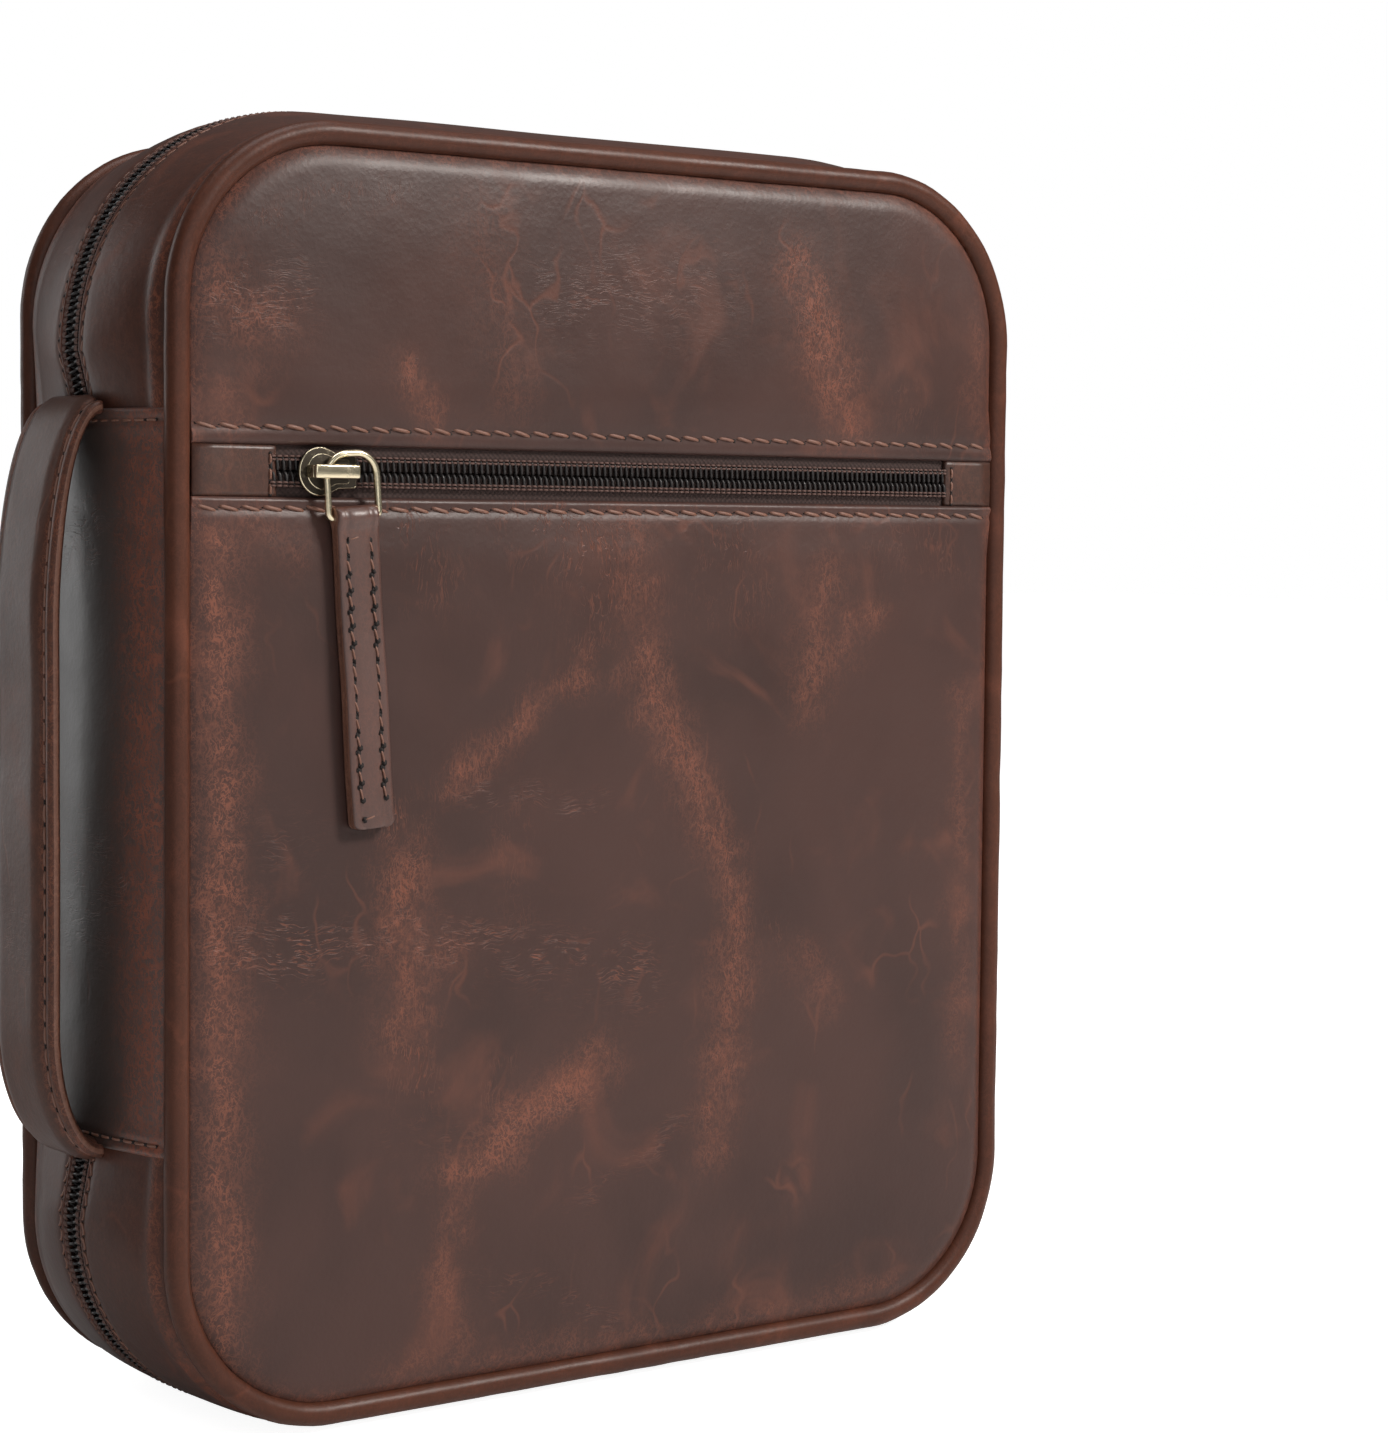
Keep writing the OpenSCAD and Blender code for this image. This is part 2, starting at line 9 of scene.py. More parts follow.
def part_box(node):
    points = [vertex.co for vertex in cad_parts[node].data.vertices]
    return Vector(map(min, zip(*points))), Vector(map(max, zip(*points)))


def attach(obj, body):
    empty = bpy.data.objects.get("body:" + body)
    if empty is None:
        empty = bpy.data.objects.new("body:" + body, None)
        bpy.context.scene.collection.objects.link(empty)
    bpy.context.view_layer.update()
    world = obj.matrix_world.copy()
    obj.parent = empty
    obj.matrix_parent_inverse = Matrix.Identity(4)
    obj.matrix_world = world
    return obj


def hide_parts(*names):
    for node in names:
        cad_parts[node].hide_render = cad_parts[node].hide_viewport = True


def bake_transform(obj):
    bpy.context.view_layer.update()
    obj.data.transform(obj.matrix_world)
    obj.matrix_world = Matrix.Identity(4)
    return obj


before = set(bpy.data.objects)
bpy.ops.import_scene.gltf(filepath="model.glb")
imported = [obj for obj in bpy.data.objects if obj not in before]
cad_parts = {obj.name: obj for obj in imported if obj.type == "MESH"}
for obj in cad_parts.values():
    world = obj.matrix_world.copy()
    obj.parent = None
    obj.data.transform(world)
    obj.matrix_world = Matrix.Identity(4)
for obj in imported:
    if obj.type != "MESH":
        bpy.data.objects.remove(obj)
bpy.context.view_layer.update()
MM = 0.001

# ---- Camera, floor and light ----
# The case stands on a white floor in soft studio light, seen from beyond the corner between its spine
# and its front cover, a little below its top.
CAMERA_AT = Vector((-426.2, -621.4, 190.1)) * MM
CAMERA_YAW, CAMERA_PITCH, CAMERA_ROLL = (math.radians(a) for a in (37.14, -3.38, 0.55))
forward = Vector((math.sin(CAMERA_YAW) * math.cos(CAMERA_PITCH),
                  math.cos(CAMERA_YAW) * math.cos(CAMERA_PITCH), math.sin(CAMERA_PITCH)))
level = Vector((math.cos(CAMERA_YAW), -math.sin(CAMERA_YAW), 0))
across = Matrix.Rotation(-CAMERA_ROLL, 3, forward) @ level
camera = bpy.data.objects.new("camera", bpy.data.cameras.new("camera"))
camera.data.lens = 83.6
camera.data.clip_start = 0.01
camera.matrix_world = Matrix.Translation(CAMERA_AT) @ Matrix((across, across.cross(forward), -forward)) \
    .transposed().to_4x4()
bpy.context.scene.collection.objects.link(camera)
bpy.context.scene.camera = camera
bpy.context.scene.view_settings.view_transform = "Standard"


def area_light(name, at, toward, size, watts, colour=(1, 1, 1)):
    light = bpy.data.lights.new(name, "AREA")
    light.shape = "RECTANGLE"
    light.size, light.size_y = size
    light.energy = watts
    light.color = colour
    obj = bpy.data.objects.new(name, light)
    obj.matrix_world = Matrix.Translation(at) @ (Vector(toward) - Vector(at)).to_track_quat("-Z", "Y") \
        .to_matrix().to_4x4()
    bpy.context.scene.collection.objects.link(obj)


CASE_MIDDLE = (0, 0, 0.14)
area_light("key", (0.70, -0.98, 1.0), CASE_MIDDLE, (0.35, 0.35), 22, (1, 0.95, 0.90))
area_light("front_fill", (-0.5, -1.3, 0.6), CASE_MIDDLE, (1.2, 1.0), 4)
area_light("spine_fill", (-0.66, 1.22, 0.40), CASE_MIDDLE, (0.45, 1.0), 3.6)
area_light("top", (0.0, -0.1, 1.5), CASE_MIDDLE, (1.0, 0.6), 8)
world = bpy.data.worlds.new("studio")
world.use_nodes = True
air = world.node_tree
air.nodes["Background"].inputs["Color"].default_value = (1, 1, 1, 1)
air.nodes["Background"].inputs["Strength"].default_value = 0.13
seen = air.nodes.new("ShaderNodeBackground")
seen.inputs["Color"].default_value = (1, 1, 1, 1)
choose = air.nodes.new("ShaderNodeMixShader")
air.links.new(air.nodes.new("ShaderNodeLightPath").outputs["Is Camera Ray"], choose.inputs[0])
air.links.new(air.nodes["Background"].outputs[0], choose.inputs[1])
air.links.new(seen.outputs[0], choose.inputs[2])
air.links.new(choose.outputs[0], air.nodes["World Output"].inputs[0])
bpy.context.scene.world = world


def material(name, base=(0.5, 0.5, 0.5), roughness=0.5, **sockets):
    """A new Principled material; sockets are set by their own names, with spaces as underscores."""
    made = bpy.data.materials.new(name)
    made.use_nodes = True
    shader = made.node_tree.nodes["Principled BSDF"]
    shader.inputs["Base Color"].default_value = (*base, 1)
    shader.inputs["Roughness"].default_value = roughness
    for socket, value in sockets.items():
        shader.inputs[socket.replace("_", " ")].default_value = value
    return made


def piece(name, verts, faces, mat, smooth=True):
    """A mesh object in the row frame, in metres. faces may carry a material index each: (corners, index)."""
    mesh = bpy.data.meshes.new(name)
    indexed = bool(len(faces)) and isinstance(faces[0], tuple) and isinstance(faces[0][0], (tuple, list))
    mesh.from_pydata([tuple(v) for v in verts], [], [f[0] for f in faces] if indexed else faces)
    for one in (mat if isinstance(mat, (list, tuple)) else [mat]):
        mesh.materials.append(one)
    if indexed:
        mesh.polygons.foreach_set("material_index", [f[1] for f in faces])
    mesh.polygons.foreach_set("use_smooth", [smooth] * len(mesh.polygons))
    mesh.validate()
    whole = bmesh.new()
    whole.from_mesh(mesh)
    bmesh.ops.recalc_face_normals(whole, faces=whole.faces)
    whole.to_mesh(mesh)
    whole.free()
    obj = bpy.data.objects.new(name, mesh)
    bpy.context.scene.collection.objects.link(obj)
    return obj


floor_paint = material("floor_paint", (0.8, 0.8, 0.8), 0.9, Emission_Color=(1, 1, 1, 1))
tree = floor_paint.node_tree
glow = tree.nodes.new("ShaderNodeMath")
glow.operation = "MULTIPLY"
glow.inputs[1].default_value = 0.92
tree.links.new(tree.nodes.new("ShaderNodeLightPath").outputs["Is Camera Ray"], glow.inputs[0])
tree.links.new(glow.outputs[0], tree.nodes["Principled BSDF"].inputs["Emission Strength"])
floor = piece("floor", [(-6, -6, 0), (6, -6, 0), (6, 6, 0), (-6, 6, 0)], [(0, 1, 2, 3)],
              floor_paint)

# ---- Leather finish ----
# All the outer pieces are waxed pull-up leather: dark brown, redder and lighter where it has been
# folded or rubbed, with a fine pebble grain and long thin creases.


def node_group(name, inputs, outputs):
    """An empty shader node group. inputs and outputs are (name, kind, default) and (name, kind)."""
    group = bpy.data.node_groups.new(name, "ShaderNodeTree")
    for label, kind, default in inputs:
        socket = group.interface.new_socket(label, in_out="INPUT", socket_type=f"NodeSocket{kind}")
        socket.default_value = default
    for label, kind in outputs:
        group.interface.new_socket(label, in_out="OUTPUT", socket_type=f"NodeSocket{kind}")
    return group, group.nodes.new("NodeGroupInput"), group.nodes.new("NodeGroupOutput")


def put(tree, kind, operation=None, **sockets):
    """A node in tree. A socket's value is a number, a tuple or another node's output."""
    node = tree.nodes.new("ShaderNode" + kind)
    if operation:
        setattr(node, "operation" if hasattr(node, "operation") else "data_type", operation)
    for key, value in sockets.items():
        socket = node.inputs[int(key[1:])] if key[0] == "i" and key[1:].isdigit() else \
            node.inputs[key.replace("_", " ")]
        if isinstance(value, bpy.types.NodeSocket):
            tree.links.new(value, socket)
        else:
            socket.default_value = value
    return node


def math_node(tree, operation, a, b=0.0, clamp=False):
    node = put(tree, "Math", operation, i0=a, i1=b)
    node.use_clamp = clamp
    return node.outputs[0]


def times(tree, a, b, clamp=False):
    return math_node(tree, "MULTIPLY", a, b, clamp)


def plus(tree, a, b, clamp=False):
    return math_node(tree, "ADD", a, b, clamp)


def mix_colour(tree, share, a, b):
    node = put(tree, "Mix", "RGBA", i0=share, i6=a, i7=b)
    return node.outputs[2]


def ramp(tree, value, low, high):
    """0 below low, 1 above high, smooth between them."""
    node = put(tree, "MapRange", i0=value, i1=low, i2=high)
    node.interpolation_type = "SMOOTHSTEP"
    return node.outputs[0]


def noise(tree, vector, scale, detail=3.0, distortion=0.0):
    node = put(tree, "TexNoise", Vector=vector, Scale=scale, Detail=detail, Distortion=distortion)
    return node.outputs[0]


def fine_lines(tree, vector, stretch, sharp):
    """Thin wandering lines, 1 on a line and 0 between. stretch gives the lines per metre along x, y and z."""
    scaled = put(tree, "Mapping", Vector=vector, Scale=stretch).outputs[0]
    ridge = math_node(tree, "ABSOLUTE", math_node(tree, "SUBTRACT", noise(tree, scaled, 1.0, 2.5, 0.6), 0.5))
    return ramp(tree, ridge, sharp, 0.0)


def turned_noise(tree, vector, scale, detail, size):
    """The vector moved about by a noise, by up to about size metres."""
    shift = put(tree, "TexNoise", Vector=vector, Scale=scale, Detail=detail).outputs[1]
    shift = put(tree, "VectorMath", "SCALE", i0=shift, Scale=size).outputs[0]
    return put(tree, "VectorMath", "ADD", i0=vector, i1=shift).outputs[0]


leather, into, out = node_group(
    "pull_up_leather",
    [("Vector", "Vector", (0, 0, 0)), ("Base", "Color", (0.06, 0.03, 0.025, 1)),
     ("Worn", "Color", (0.2, 0.07, 0.04, 1)), ("Dark", "Color", (0.02, 0.013, 0.012, 1)),
     ("Level creases", "Float", 0.0), ("Upright creases", "Float", 0.0), ("Rub", "Float", 0.0),
     ("Blotches", "Float", 0.35)],
    [("Color", "Color"), ("Roughness", "Float"), ("Height", "Float")])
at = into.outputs["Vector"]
rub = into.outputs["Rub"]
mottle = ramp(leather, noise(leather, at, 22, 5, 0.4), 0.35, 0.7)
blotch = times(leather, ramp(leather, noise(leather, at, 34, 4, 1.2), 0.55, 0.8), into.outputs["Blotches"])
wavy = turned_noise(leather, at, 75.0, 3.0, 0.007)
broken = ramp(leather, noise(leather, at, 210, 3), 0.36, 0.60)
level = times(leather, fine_lines(leather, wavy, (150, 150, 1150), 0.040), into.outputs["Level creases"],
              True)
upright = times(leather, fine_lines(leather, wavy, (1050, 1050, 130), 0.040), into.outputs["Upright creases"],
                True)
net = put(leather, "TexVoronoi", Scale=1.0, Vector=put(
    leather, "Mapping", Vector=turned_noise(leather, at, 60.0, 2.0, 0.02), Scale=(55, 55, 26)).outputs[0])
net.feature = "DISTANCE_TO_EDGE"
stray = times(leather, ramp(leather, net.outputs[0], 0.035, 0.0),
              ramp(leather, noise(leather, at, 40, 2), 0.52, 0.7))
creases = math_node(leather, "MAXIMUM", times(leather, math_node(leather, "MAXIMUM", level, upright), broken),
                    times(leather, stray, 0.35))
flecks = ramp(leather, noise(leather, at, 900, 4), 0.42, 0.62)
crackle = math_node(leather, "MAXIMUM", fine_lines(leather, wavy, (520, 520, 330), 0.05),
                    fine_lines(leather, at, (1100, 1100, 800), 0.05))
rubbed = plus(leather, times(leather, flecks, 0.22), plus(leather, times(leather, crackle, 0.55), 0.13))
worn = plus(leather, times(leather, rub, rubbed), blotch, True)
colour = mix_colour(leather, times(leather, mottle, 0.55), into.outputs["Base"], into.outputs["Dark"])
colour = mix_colour(leather, times(leather, worn, 0.85), colour, into.outputs["Worn"])
pale = put(leather, "VectorMath", "SCALE", i0=into.outputs["Worn"], Scale=1.45).outputs[0]
hair = times(leather, times(leather, crackle, broken), rub)
colour = mix_colour(leather, times(leather, hair, 0.45, True), colour, pale)
colour = mix_colour(leather, times(leather, creases, 0.75), colour, into.outputs["Worn"])
pebble = put(leather, "TexVoronoi", Vector=at, Scale=950.0)
grain = plus(leather, times(leather, pebble.outputs[0], 0.6),
             times(leather, noise(leather, at, 2600, 3), 0.5))
roll = noise(leather, at, 130, 3)
bumps = plus(leather, times(leather, grain, 0.30), times(leather, roll, 1.4))
height = math_node(leather, "SUBTRACT", bumps, times(leather, creases, 0.55))
rough = plus(leather, times(leather, noise(leather, at, 48, 4), 0.22), 0.30)
leather.links.new(colour, out.inputs["Color"])
leather.links.new(plus(leather, times(leather, worn, 0.12), rough), out.inputs["Roughness"])
leather.links.new(height, out.inputs["Height"])


def dress(made, effect, relief):
    """Gives a material a node group laid in the object's own coordinates, with its height as bumps."""
    tree = made.node_tree
    shader = tree.nodes["Principled BSDF"]
    group = tree.nodes.new("ShaderNodeGroup")
    group.node_tree = effect
    tree.links.new(put(tree, "TexCoord").outputs["Object"], group.inputs["Vector"])
    tree.links.new(group.outputs["Color"], shader.inputs["Base Color"])
    if "Roughness" in group.outputs:
        tree.links.new(group.outputs["Roughness"], shader.inputs["Roughness"])
    bump = put(tree, "Bump", Height=group.outputs["Height"], Distance=relief)
    tree.links.new(bump.outputs[0], shader.inputs["Normal"])
    return group


def leather_material(name, base, worn, dark, relief=0.00012, specular=0.4, **inputs):
    """A leather of its own colours. Meshes may carry the attributes level, upright and rub."""
    made = material(name, Specular_IOR_Level=specular)
    tree = made.node_tree
    group = dress(made, leather, relief)
    for label, value in (("Base", base), ("Worn", worn), ("Dark", dark)):
        group.inputs[label].default_value = (*value, 1)
    for label, attribute in (("Level creases", "level"), ("Upright creases", "upright"), ("Rub", "rub")):
        if label.replace(" ", "_") in inputs:
            group.inputs[label].default_value = inputs[label.replace(" ", "_")]
        else:
            painted = put(tree, "Attribute")
            painted.attribute_name = attribute
            tree.links.new(painted.outputs["Fac"], group.inputs[label])
    group.inputs["Blotches"].default_value = inputs.get("Blotches", 0.35)
    return made


# ---- Front cover panels ----
# Two panels of leather make the front cover: one above the pocket zip and a taller one below it. Each is
# turned over along the zip, sewn into the piping seam round its other edges, and puffed a little.
front_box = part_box("front_piping")
PIPING_R = 2.6 * MM
LEATHER_T = 1.8 * MM
SEAM_HALF_W = (front_box[1].x - front_box[0].x) / 2 - PIPING_R
SEAM_LOW, SEAM_TOP = front_box[0].z + PIPING_R, front_box[1].z - PIPING_R
SEAM_MID = (SEAM_LOW + SEAM_TOP) / 2
CORNER_R = 36 * MM
PANEL_Y = -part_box("front_pocket_panel")[0].y
PANEL_INSET = 2.5 * MM
panel_leather = leather_material("panel_leather", (0.058, 0.028, 0.023), (0.205, 0.070, 0.042),
                                 (0.030, 0.016, 0.014), specular=0.30)


def edge_distance(x, z, inset):
    """How far inside the panel's outline a point is, the outline drawn inset from the seam."""
    r = CORNER_R - inset
    qx = np.abs(x) - (SEAM_HALF_W - inset - r)
    qz = np.abs(z - SEAM_MID) - ((SEAM_TOP - SEAM_LOW) / 2 - inset - r)
    return r - np.hypot(np.maximum(qx, 0), np.maximum(qz, 0)) - np.minimum(np.maximum(qx, qz), 0)


def outline_half_width(z, inset):
    r = CORNER_R - inset
    past = np.abs(z - SEAM_MID) - ((SEAM_TOP - SEAM_LOW) / 2 - inset - r)
    return SEAM_HALF_W - inset - r + math.sqrt(max(r * r - max(past, 0) ** 2, 0))


def rounding(r, from_edge):
    """How far a rounded edge of radius r falls below the flat, at a distance from that edge."""
    return r - np.sqrt(np.maximum(r ** 2 - np.maximum(r - from_edge, 0) ** 2, 0))


def spread(low, high, step):
    """Positions from low to high, a step apart, with finer ones beside both ends."""
    near = np.array([0, 0.15, 0.35, 0.6, 0.9, 1.3, 1.8, 2.4, 3.0, 3.6, 4.4, 5.4, 6.6]) * MM
    start, end = low + near, high - near[::-1]
    middle = np.linspace(start[-1], end[0], max(2, round((end[0] - start[-1]) / step)) + 1)[1:-1]
    return np.concatenate([start, middle, end])


def soft_waves(x, z, size, seed):
    """Slow unevenness, about -1 to 1, repeated over size metres."""
    rng = np.random.RandomState(seed)
    total = np.zeros(np.broadcast(x, z).shape)
    for _ in range(6):
        angle, phase, stretch = rng.uniform(0, math.pi), rng.uniform(0, 6.3), rng.uniform(0.6, 1.7)
        total += np.sin((x * math.cos(angle) + z * math.sin(angle)) * 6.283 / size / stretch + phase)
    return total / 3.5


def grid_faces(rows, columns, start=0, flip=False):
    faces = []
    for i in range(rows - 1):
        for j in range(columns - 1):
            a = start + i * columns + j
            quad = (a, a + 1, a + columns + 1, a + columns)
            faces.append(quad[::-1] if flip else quad)
    return faces


def fit(obj, body, slot, *nodes):
    """The object moves with body and stands for nodes, if any, which are hidden. slot is not used."""
    if nodes:
        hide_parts(*nodes)
    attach(obj, body)


def sheet_shell(name, outer, inner, mat, open_row=""):
    """A sheet between two grids of points of the same shape, closed all round but at open_row, if any."""
    rows, columns = outer.shape[:2]
    count = rows * columns
    faces = grid_faces(rows, columns) + grid_faces(rows, columns, count, True)
    rim = list(range(columns)) + [i * columns + columns - 1 for i in range(1, rows)] \
        + [(rows - 1) * columns + j for j in range(columns - 2, -1, -1)] \
        + [i * columns for i in range(rows - 2, 0, -1)]
    left_open = {"": -1, "first": 0, "last": rows - 1}[open_row]
    for k, a in enumerate(rim):
        b = rim[(k + 1) % len(rim)]
        if not a // columns == b // columns == left_open:
            faces.append((b, a, a + count, b + count))
    return piece(name, np.concatenate([outer.reshape(-1, 3), inner.reshape(-1, 3)]), faces, mat)


def paint(obj, name, values):
    layer = obj.data.attributes.new(name, "FLOAT", "POINT")
    layer.data.foreach_set("value", np.asarray(values, np.float32))


def stroke_mask(x, z, strokes):
    """How much of each stroke reaches a point. A stroke is a list of points, its width and its strength."""
    total = np.zeros(x.shape)
    bent = x + 2.2 * MM * soft_waves(x, z, 0.016, 91), z + 2.2 * MM * soft_waves(x, z, 0.016, 92)
    for points, width, strength in strokes:
        best = np.full(x.shape, 9.0)
        for (x0, z0), (x1, z1) in zip(points, points[1:]):
            a, b = np.array((x0, z0)) * MM, np.array((x1, z1)) * MM
            span = b - a
            u, v = bent[0] - a[0], bent[1] - a[1]
            t = np.clip((u * span[0] + v * span[1]) / (span @ span), 0, 1)
            best = np.minimum(best, np.hypot(u - t * span[0], v - t * span[1]))
        total = np.maximum(total, strength * np.exp(-np.abs(best / (0.75 * width * MM)) ** 1.6))
    return total


STITCH_DIP = 0.35 * MM
TURNED_FOLD = 1.1 * MM


def cover_panel(name, z_low, z_high, turned, stitch_in, crown, side, strokes, seed):
    """A cover panel facing side * y, and its lift off the flat. turned names its edge along the zip."""
    zs = spread(z_low, z_high, 2.6 * MM)
    us = spread(-0.104, 0.104, 2.6 * MM) / 0.104
    x = np.array([[u * outline_half_width(z, PANEL_INSET) for u in us] for z in zs])
    z = np.repeat(zs[:, None], len(us), 1)

    def lift(x, z):
        d = np.maximum(edge_distance(x, z, PANEL_INSET), 0)
        up = -1.5 * MM * (1 - np.clip(d / (4.5 * MM), 0, 1)) ** 2
        up += crown * (1 - (1 - np.clip(d / 0.045, 0, 1)) ** 2)
        up += 0.16 * MM * soft_waves(x, z, 0.05, seed) * np.clip(d / 0.01, 0, 1)
        if turned:
            e = (z - z_low) if turned == "low" else (z_high - z)
            up = up * (0.1 + 0.9 * np.clip(e / 0.012, 0, 1))
            up -= rounding(TURNED_FOLD, e)
            up -= STITCH_DIP * np.exp(-((e - stitch_in) / (0.9 * MM)) ** 2)
        return up

    d = np.maximum(edge_distance(x, z, PANEL_INSET), 0)
    y = side * (PANEL_Y + lift(x, z))
    outer = np.stack([x, y, z], 2)
    inner = np.stack([x, np.full(x.shape, side * (PANEL_Y - LEATHER_T)), z], 2)
    obj = sheet_shell(name, outer, inner, panel_leather)
    for label in ("level", "upright", "rub"):
        mask = stroke_mask(x, z, strokes.get(label, []))
        if label == "rub":
            mask = np.maximum(mask, 0.5 * np.exp(-(d / (2.5 * MM)) ** 2))
        paint(obj, label, np.concatenate([mask.ravel(), mask.ravel()]))
    return obj, lift


pocket_marks = {
    "level": [
        ([(-102, 105), (-80, 101), (-58, 103), (-25, 97), (4, 90)], 7, 0.95),
        ([(-44, 133), (-7, 129)], 2.5, 0.7), ([(-58, 62), (-36, 60), (-12, 64)], 4, 0.5),
        ([(-100, 128), (-84, 124)], 9, 0.3),
        ([(-41, 28), (-17, 23), (-1, 12)], 3, 0.6), ([(18, 58), (2, 48), (-14, 40)], 2.5, 0.5)],
    "upright": [
        ([(-59, 126), (-57, 103), (-54, 70)], 7, 0.95), ([(-49, 133), (-29, 147), (-10, 161)], 4, 0.7),
        ([(3, 158), (20, 128), (30, 105), (30, 82), (24, 54)], 6, 0.95), ([(57, 176), (52, 149)], 6, 0.55),
        ([(69, 170), (52, 158)], 4, 0.5), ([(30, 105), (49, 90)], 3, 0.4),
        ([(-33, 75), (-36, 58), (-48, 33)], 4, 0.6), ([(-61, 192), (-50, 176)], 9, 0.6),
        ([(-20, 192), (-2, 174)], 15, 0.75), ([(22, 192), (30, 176)], 12, 0.6),
        ([(60, 192), (92, 182)], 9, 0.4), ([(-30, 130), (-30, 104)], 5, 0.35)],
    "rub": [
        ([(-58, 118), (-57, 84)], 7, 0.65), ([(-45, 98), (-66, 100)], 6, 0.3),
        ([(-44, 50), (-30, 60), (-6, 72)], 6, 0.75), ([(-38, 58), (-48, 33), (-44, 12)], 5, 0.4),
        ([(-47, 133), (-29, 146), (-12, 158)], 3.5, 0.5), ([(69, 169), (58, 160)], 5, 0.45),
        ([(3, 160), (20, 128), (30, 105), (29, 82), (24, 50)], 6, 0.6), ([(55, 178), (50, 150)], 7, 0.4),
        ([(-101, 186), (-100, 100), (-100, 18)], 6.5, 0.75), ([(-96, 190), (-84, 184)], 7, 0.3),
        ([(-1, 190), (4, 165)], 7, 0.35), ([(49, 90), (58, 82)], 6, 0.3),
        ([(-60, 12), (20, 8), (80, 10)], 4, 0.35), ([(98, 60), (98, 150)], 4, 0.3)]}
upper_marks = {
    "level": [([(-104, 232), (-84, 236)], 8, 0.5), ([(-16, 238), (20, 240)], 14, 0.3)],
    "upright": [([(47, 246), (54, 226), (60, 212)], 6, 0.8), ([(-59, 220), (-49, 209)], 4, 0.7),
                ([(-92, 250), (-60, 258)], 6, 0.3), ([(76, 222), (84, 210)], 5, 0.4)],
    "rub": [([(47, 246), (56, 222), (62, 210)], 8, 0.65), ([(-59, 220), (-50, 209)], 4, 0.6),
            ([(-104, 238), (-92, 228)], 9, 0.5), ([(-101, 215), (-98, 209)], 5, 0.4),
            ([(-40, 252), (-30, 215)], 9, 0.2), ([(100, 240), (102, 214)], 5, 0.3)]}
upper_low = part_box("front_panel_upper")[0].z
pocket_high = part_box("front_pocket_panel")[1].z
UPPER_STITCH_IN, POCKET_STITCH_IN = 3.6 * MM, 2.5 * MM
front_upper, front_upper_lift = cover_panel(
    "front_panel_upper_leather", upper_low, SEAM_TOP - PANEL_INSET, "low", UPPER_STITCH_IN, 1.9 * MM, -1,
    upper_marks, 3)
front_pocket, front_pocket_lift = cover_panel(
    "front_pocket_leather", SEAM_LOW + PANEL_INSET, pocket_high, "high", POCKET_STITCH_IN, 1.1 * MM, -1,
    pocket_marks, 5)
fit(front_upper, "front_cover", "case_leather", "front_panel_upper")
fit(front_pocket, "front_cover", "case_leather", "front_pocket_panel")

# ---- Piping ----
# A cord wrapped in a strip of thinner leather runs round each cover, caught in the seam between the cover
# panel and the side wall. It is redder than the panels, because the leather is pulled tight over the cord.
SEAM_Y = 32 * MM
piping_leather = leather_material("piping_leather", (0.064, 0.0215, 0.0118), (0.17, 0.052, 0.028),
                                  (0.040, 0.014, 0.009), specular=0.22, Rub=0.15, Blotches=0.5)


def arc(cx, cz, r, start, end, steps):
    return [(cx + r * math.cos(math.radians(start + (end - start) * k / steps)),
             cz + r * math.sin(math.radians(start + (end - start) * k / steps))) for k in range(steps + 1)]


def line_between(a, b, steps):
    """The points that part a straight line into steps, without its ends."""
    return [tuple(np.array(a) + (np.array(b) - a) * k / steps) for k in range(1, steps)]


def round_loop(half_w, low, high, r, steps, straight):
    """A closed round-cornered loop in x and z, clockwise from the upper left corner."""
    corners = [arc(sx * (half_w - r), (high - r if sz > 0 else low + r), r, a0, a1, steps)
               for sx, sz, a0, a1 in ((-1, 1, 180, 90), (1, 1, 90, 0), (1, -1, 0, -90), (-1, -1, -90, -180))]
    loop = []
    for k, corner in enumerate(corners):
        loop += corner + line_between(corner[-1], corners[(k + 1) % 4][0], straight)
    return loop


def tube(path, radius, sides=12, closed=False, across_dir=None):
    """A round tube along a path. Returns its points and faces."""
    path = np.asarray(path, float)
    count = len(path)
    radius = np.broadcast_to(radius, (count,))
    ahead = np.roll(path, -1, 0) - np.roll(path, 1, 0)
    if not closed:
        ahead[0], ahead[-1] = path[1] - path[0], path[-1] - path[-2]
    ahead /= np.linalg.norm(ahead, axis=1)[:, None]
    normal = np.array(across_dir if across_dir is not None else (0, 0, 1.0), float)
    if abs(normal @ ahead[0]) > 0.9:
        normal = np.array((1.0, 0, 0))
    verts = []
    angles = np.arange(sides) * 2 * math.pi / sides
    for k in range(count):
        normal = normal - ahead[k] * (normal @ ahead[k])
        normal /= np.linalg.norm(normal)
        second = np.cross(ahead[k], normal)
        spokes = np.cos(angles)[:, None] * normal + np.sin(angles)[:, None] * second
        verts.extend(path[k] + radius[k] * spokes)
    faces = []
    for k in range(count if closed else count - 1):
        a, b = k * sides, ((k + 1) % count) * sides
        for s in range(sides):
            t = (s + 1) % sides
            faces.append((a + s, a + t, b + t, b + s))
    if not closed:
        faces.append(tuple(range(sides - 1, -1, -1)))
        faces.append(tuple((count - 1) * sides + s for s in range(sides)))
    return verts, faces


for cover, side in (("front", -1), ("back", 1)):
    loop = np.array(round_loop(SEAM_HALF_W, SEAM_LOW, SEAM_TOP, CORNER_R, 24, 60))
    wobble = soft_waves(loop[:, 0], loop[:, 1], 0.02, 11 + side)
    path = np.stack([loop[:, 0], np.full(len(loop), side * SEAM_Y) + 0.12 * MM * wobble, loop[:, 1]], 1)
    radii = PIPING_R * (1 + 0.02 * soft_waves(loop[:, 0] * 3, loop[:, 1] * 3, 0.02, 21 + side)) - 0.04 * MM
    cord = tube(path, radii, 16, True, across_dir=(0, side, 0))
    piping = piece(f"{cover}_piping_cord", *cord, piping_leather)
    fit(piping, f"{cover}_cover", "trim_leather", f"{cover}_piping")

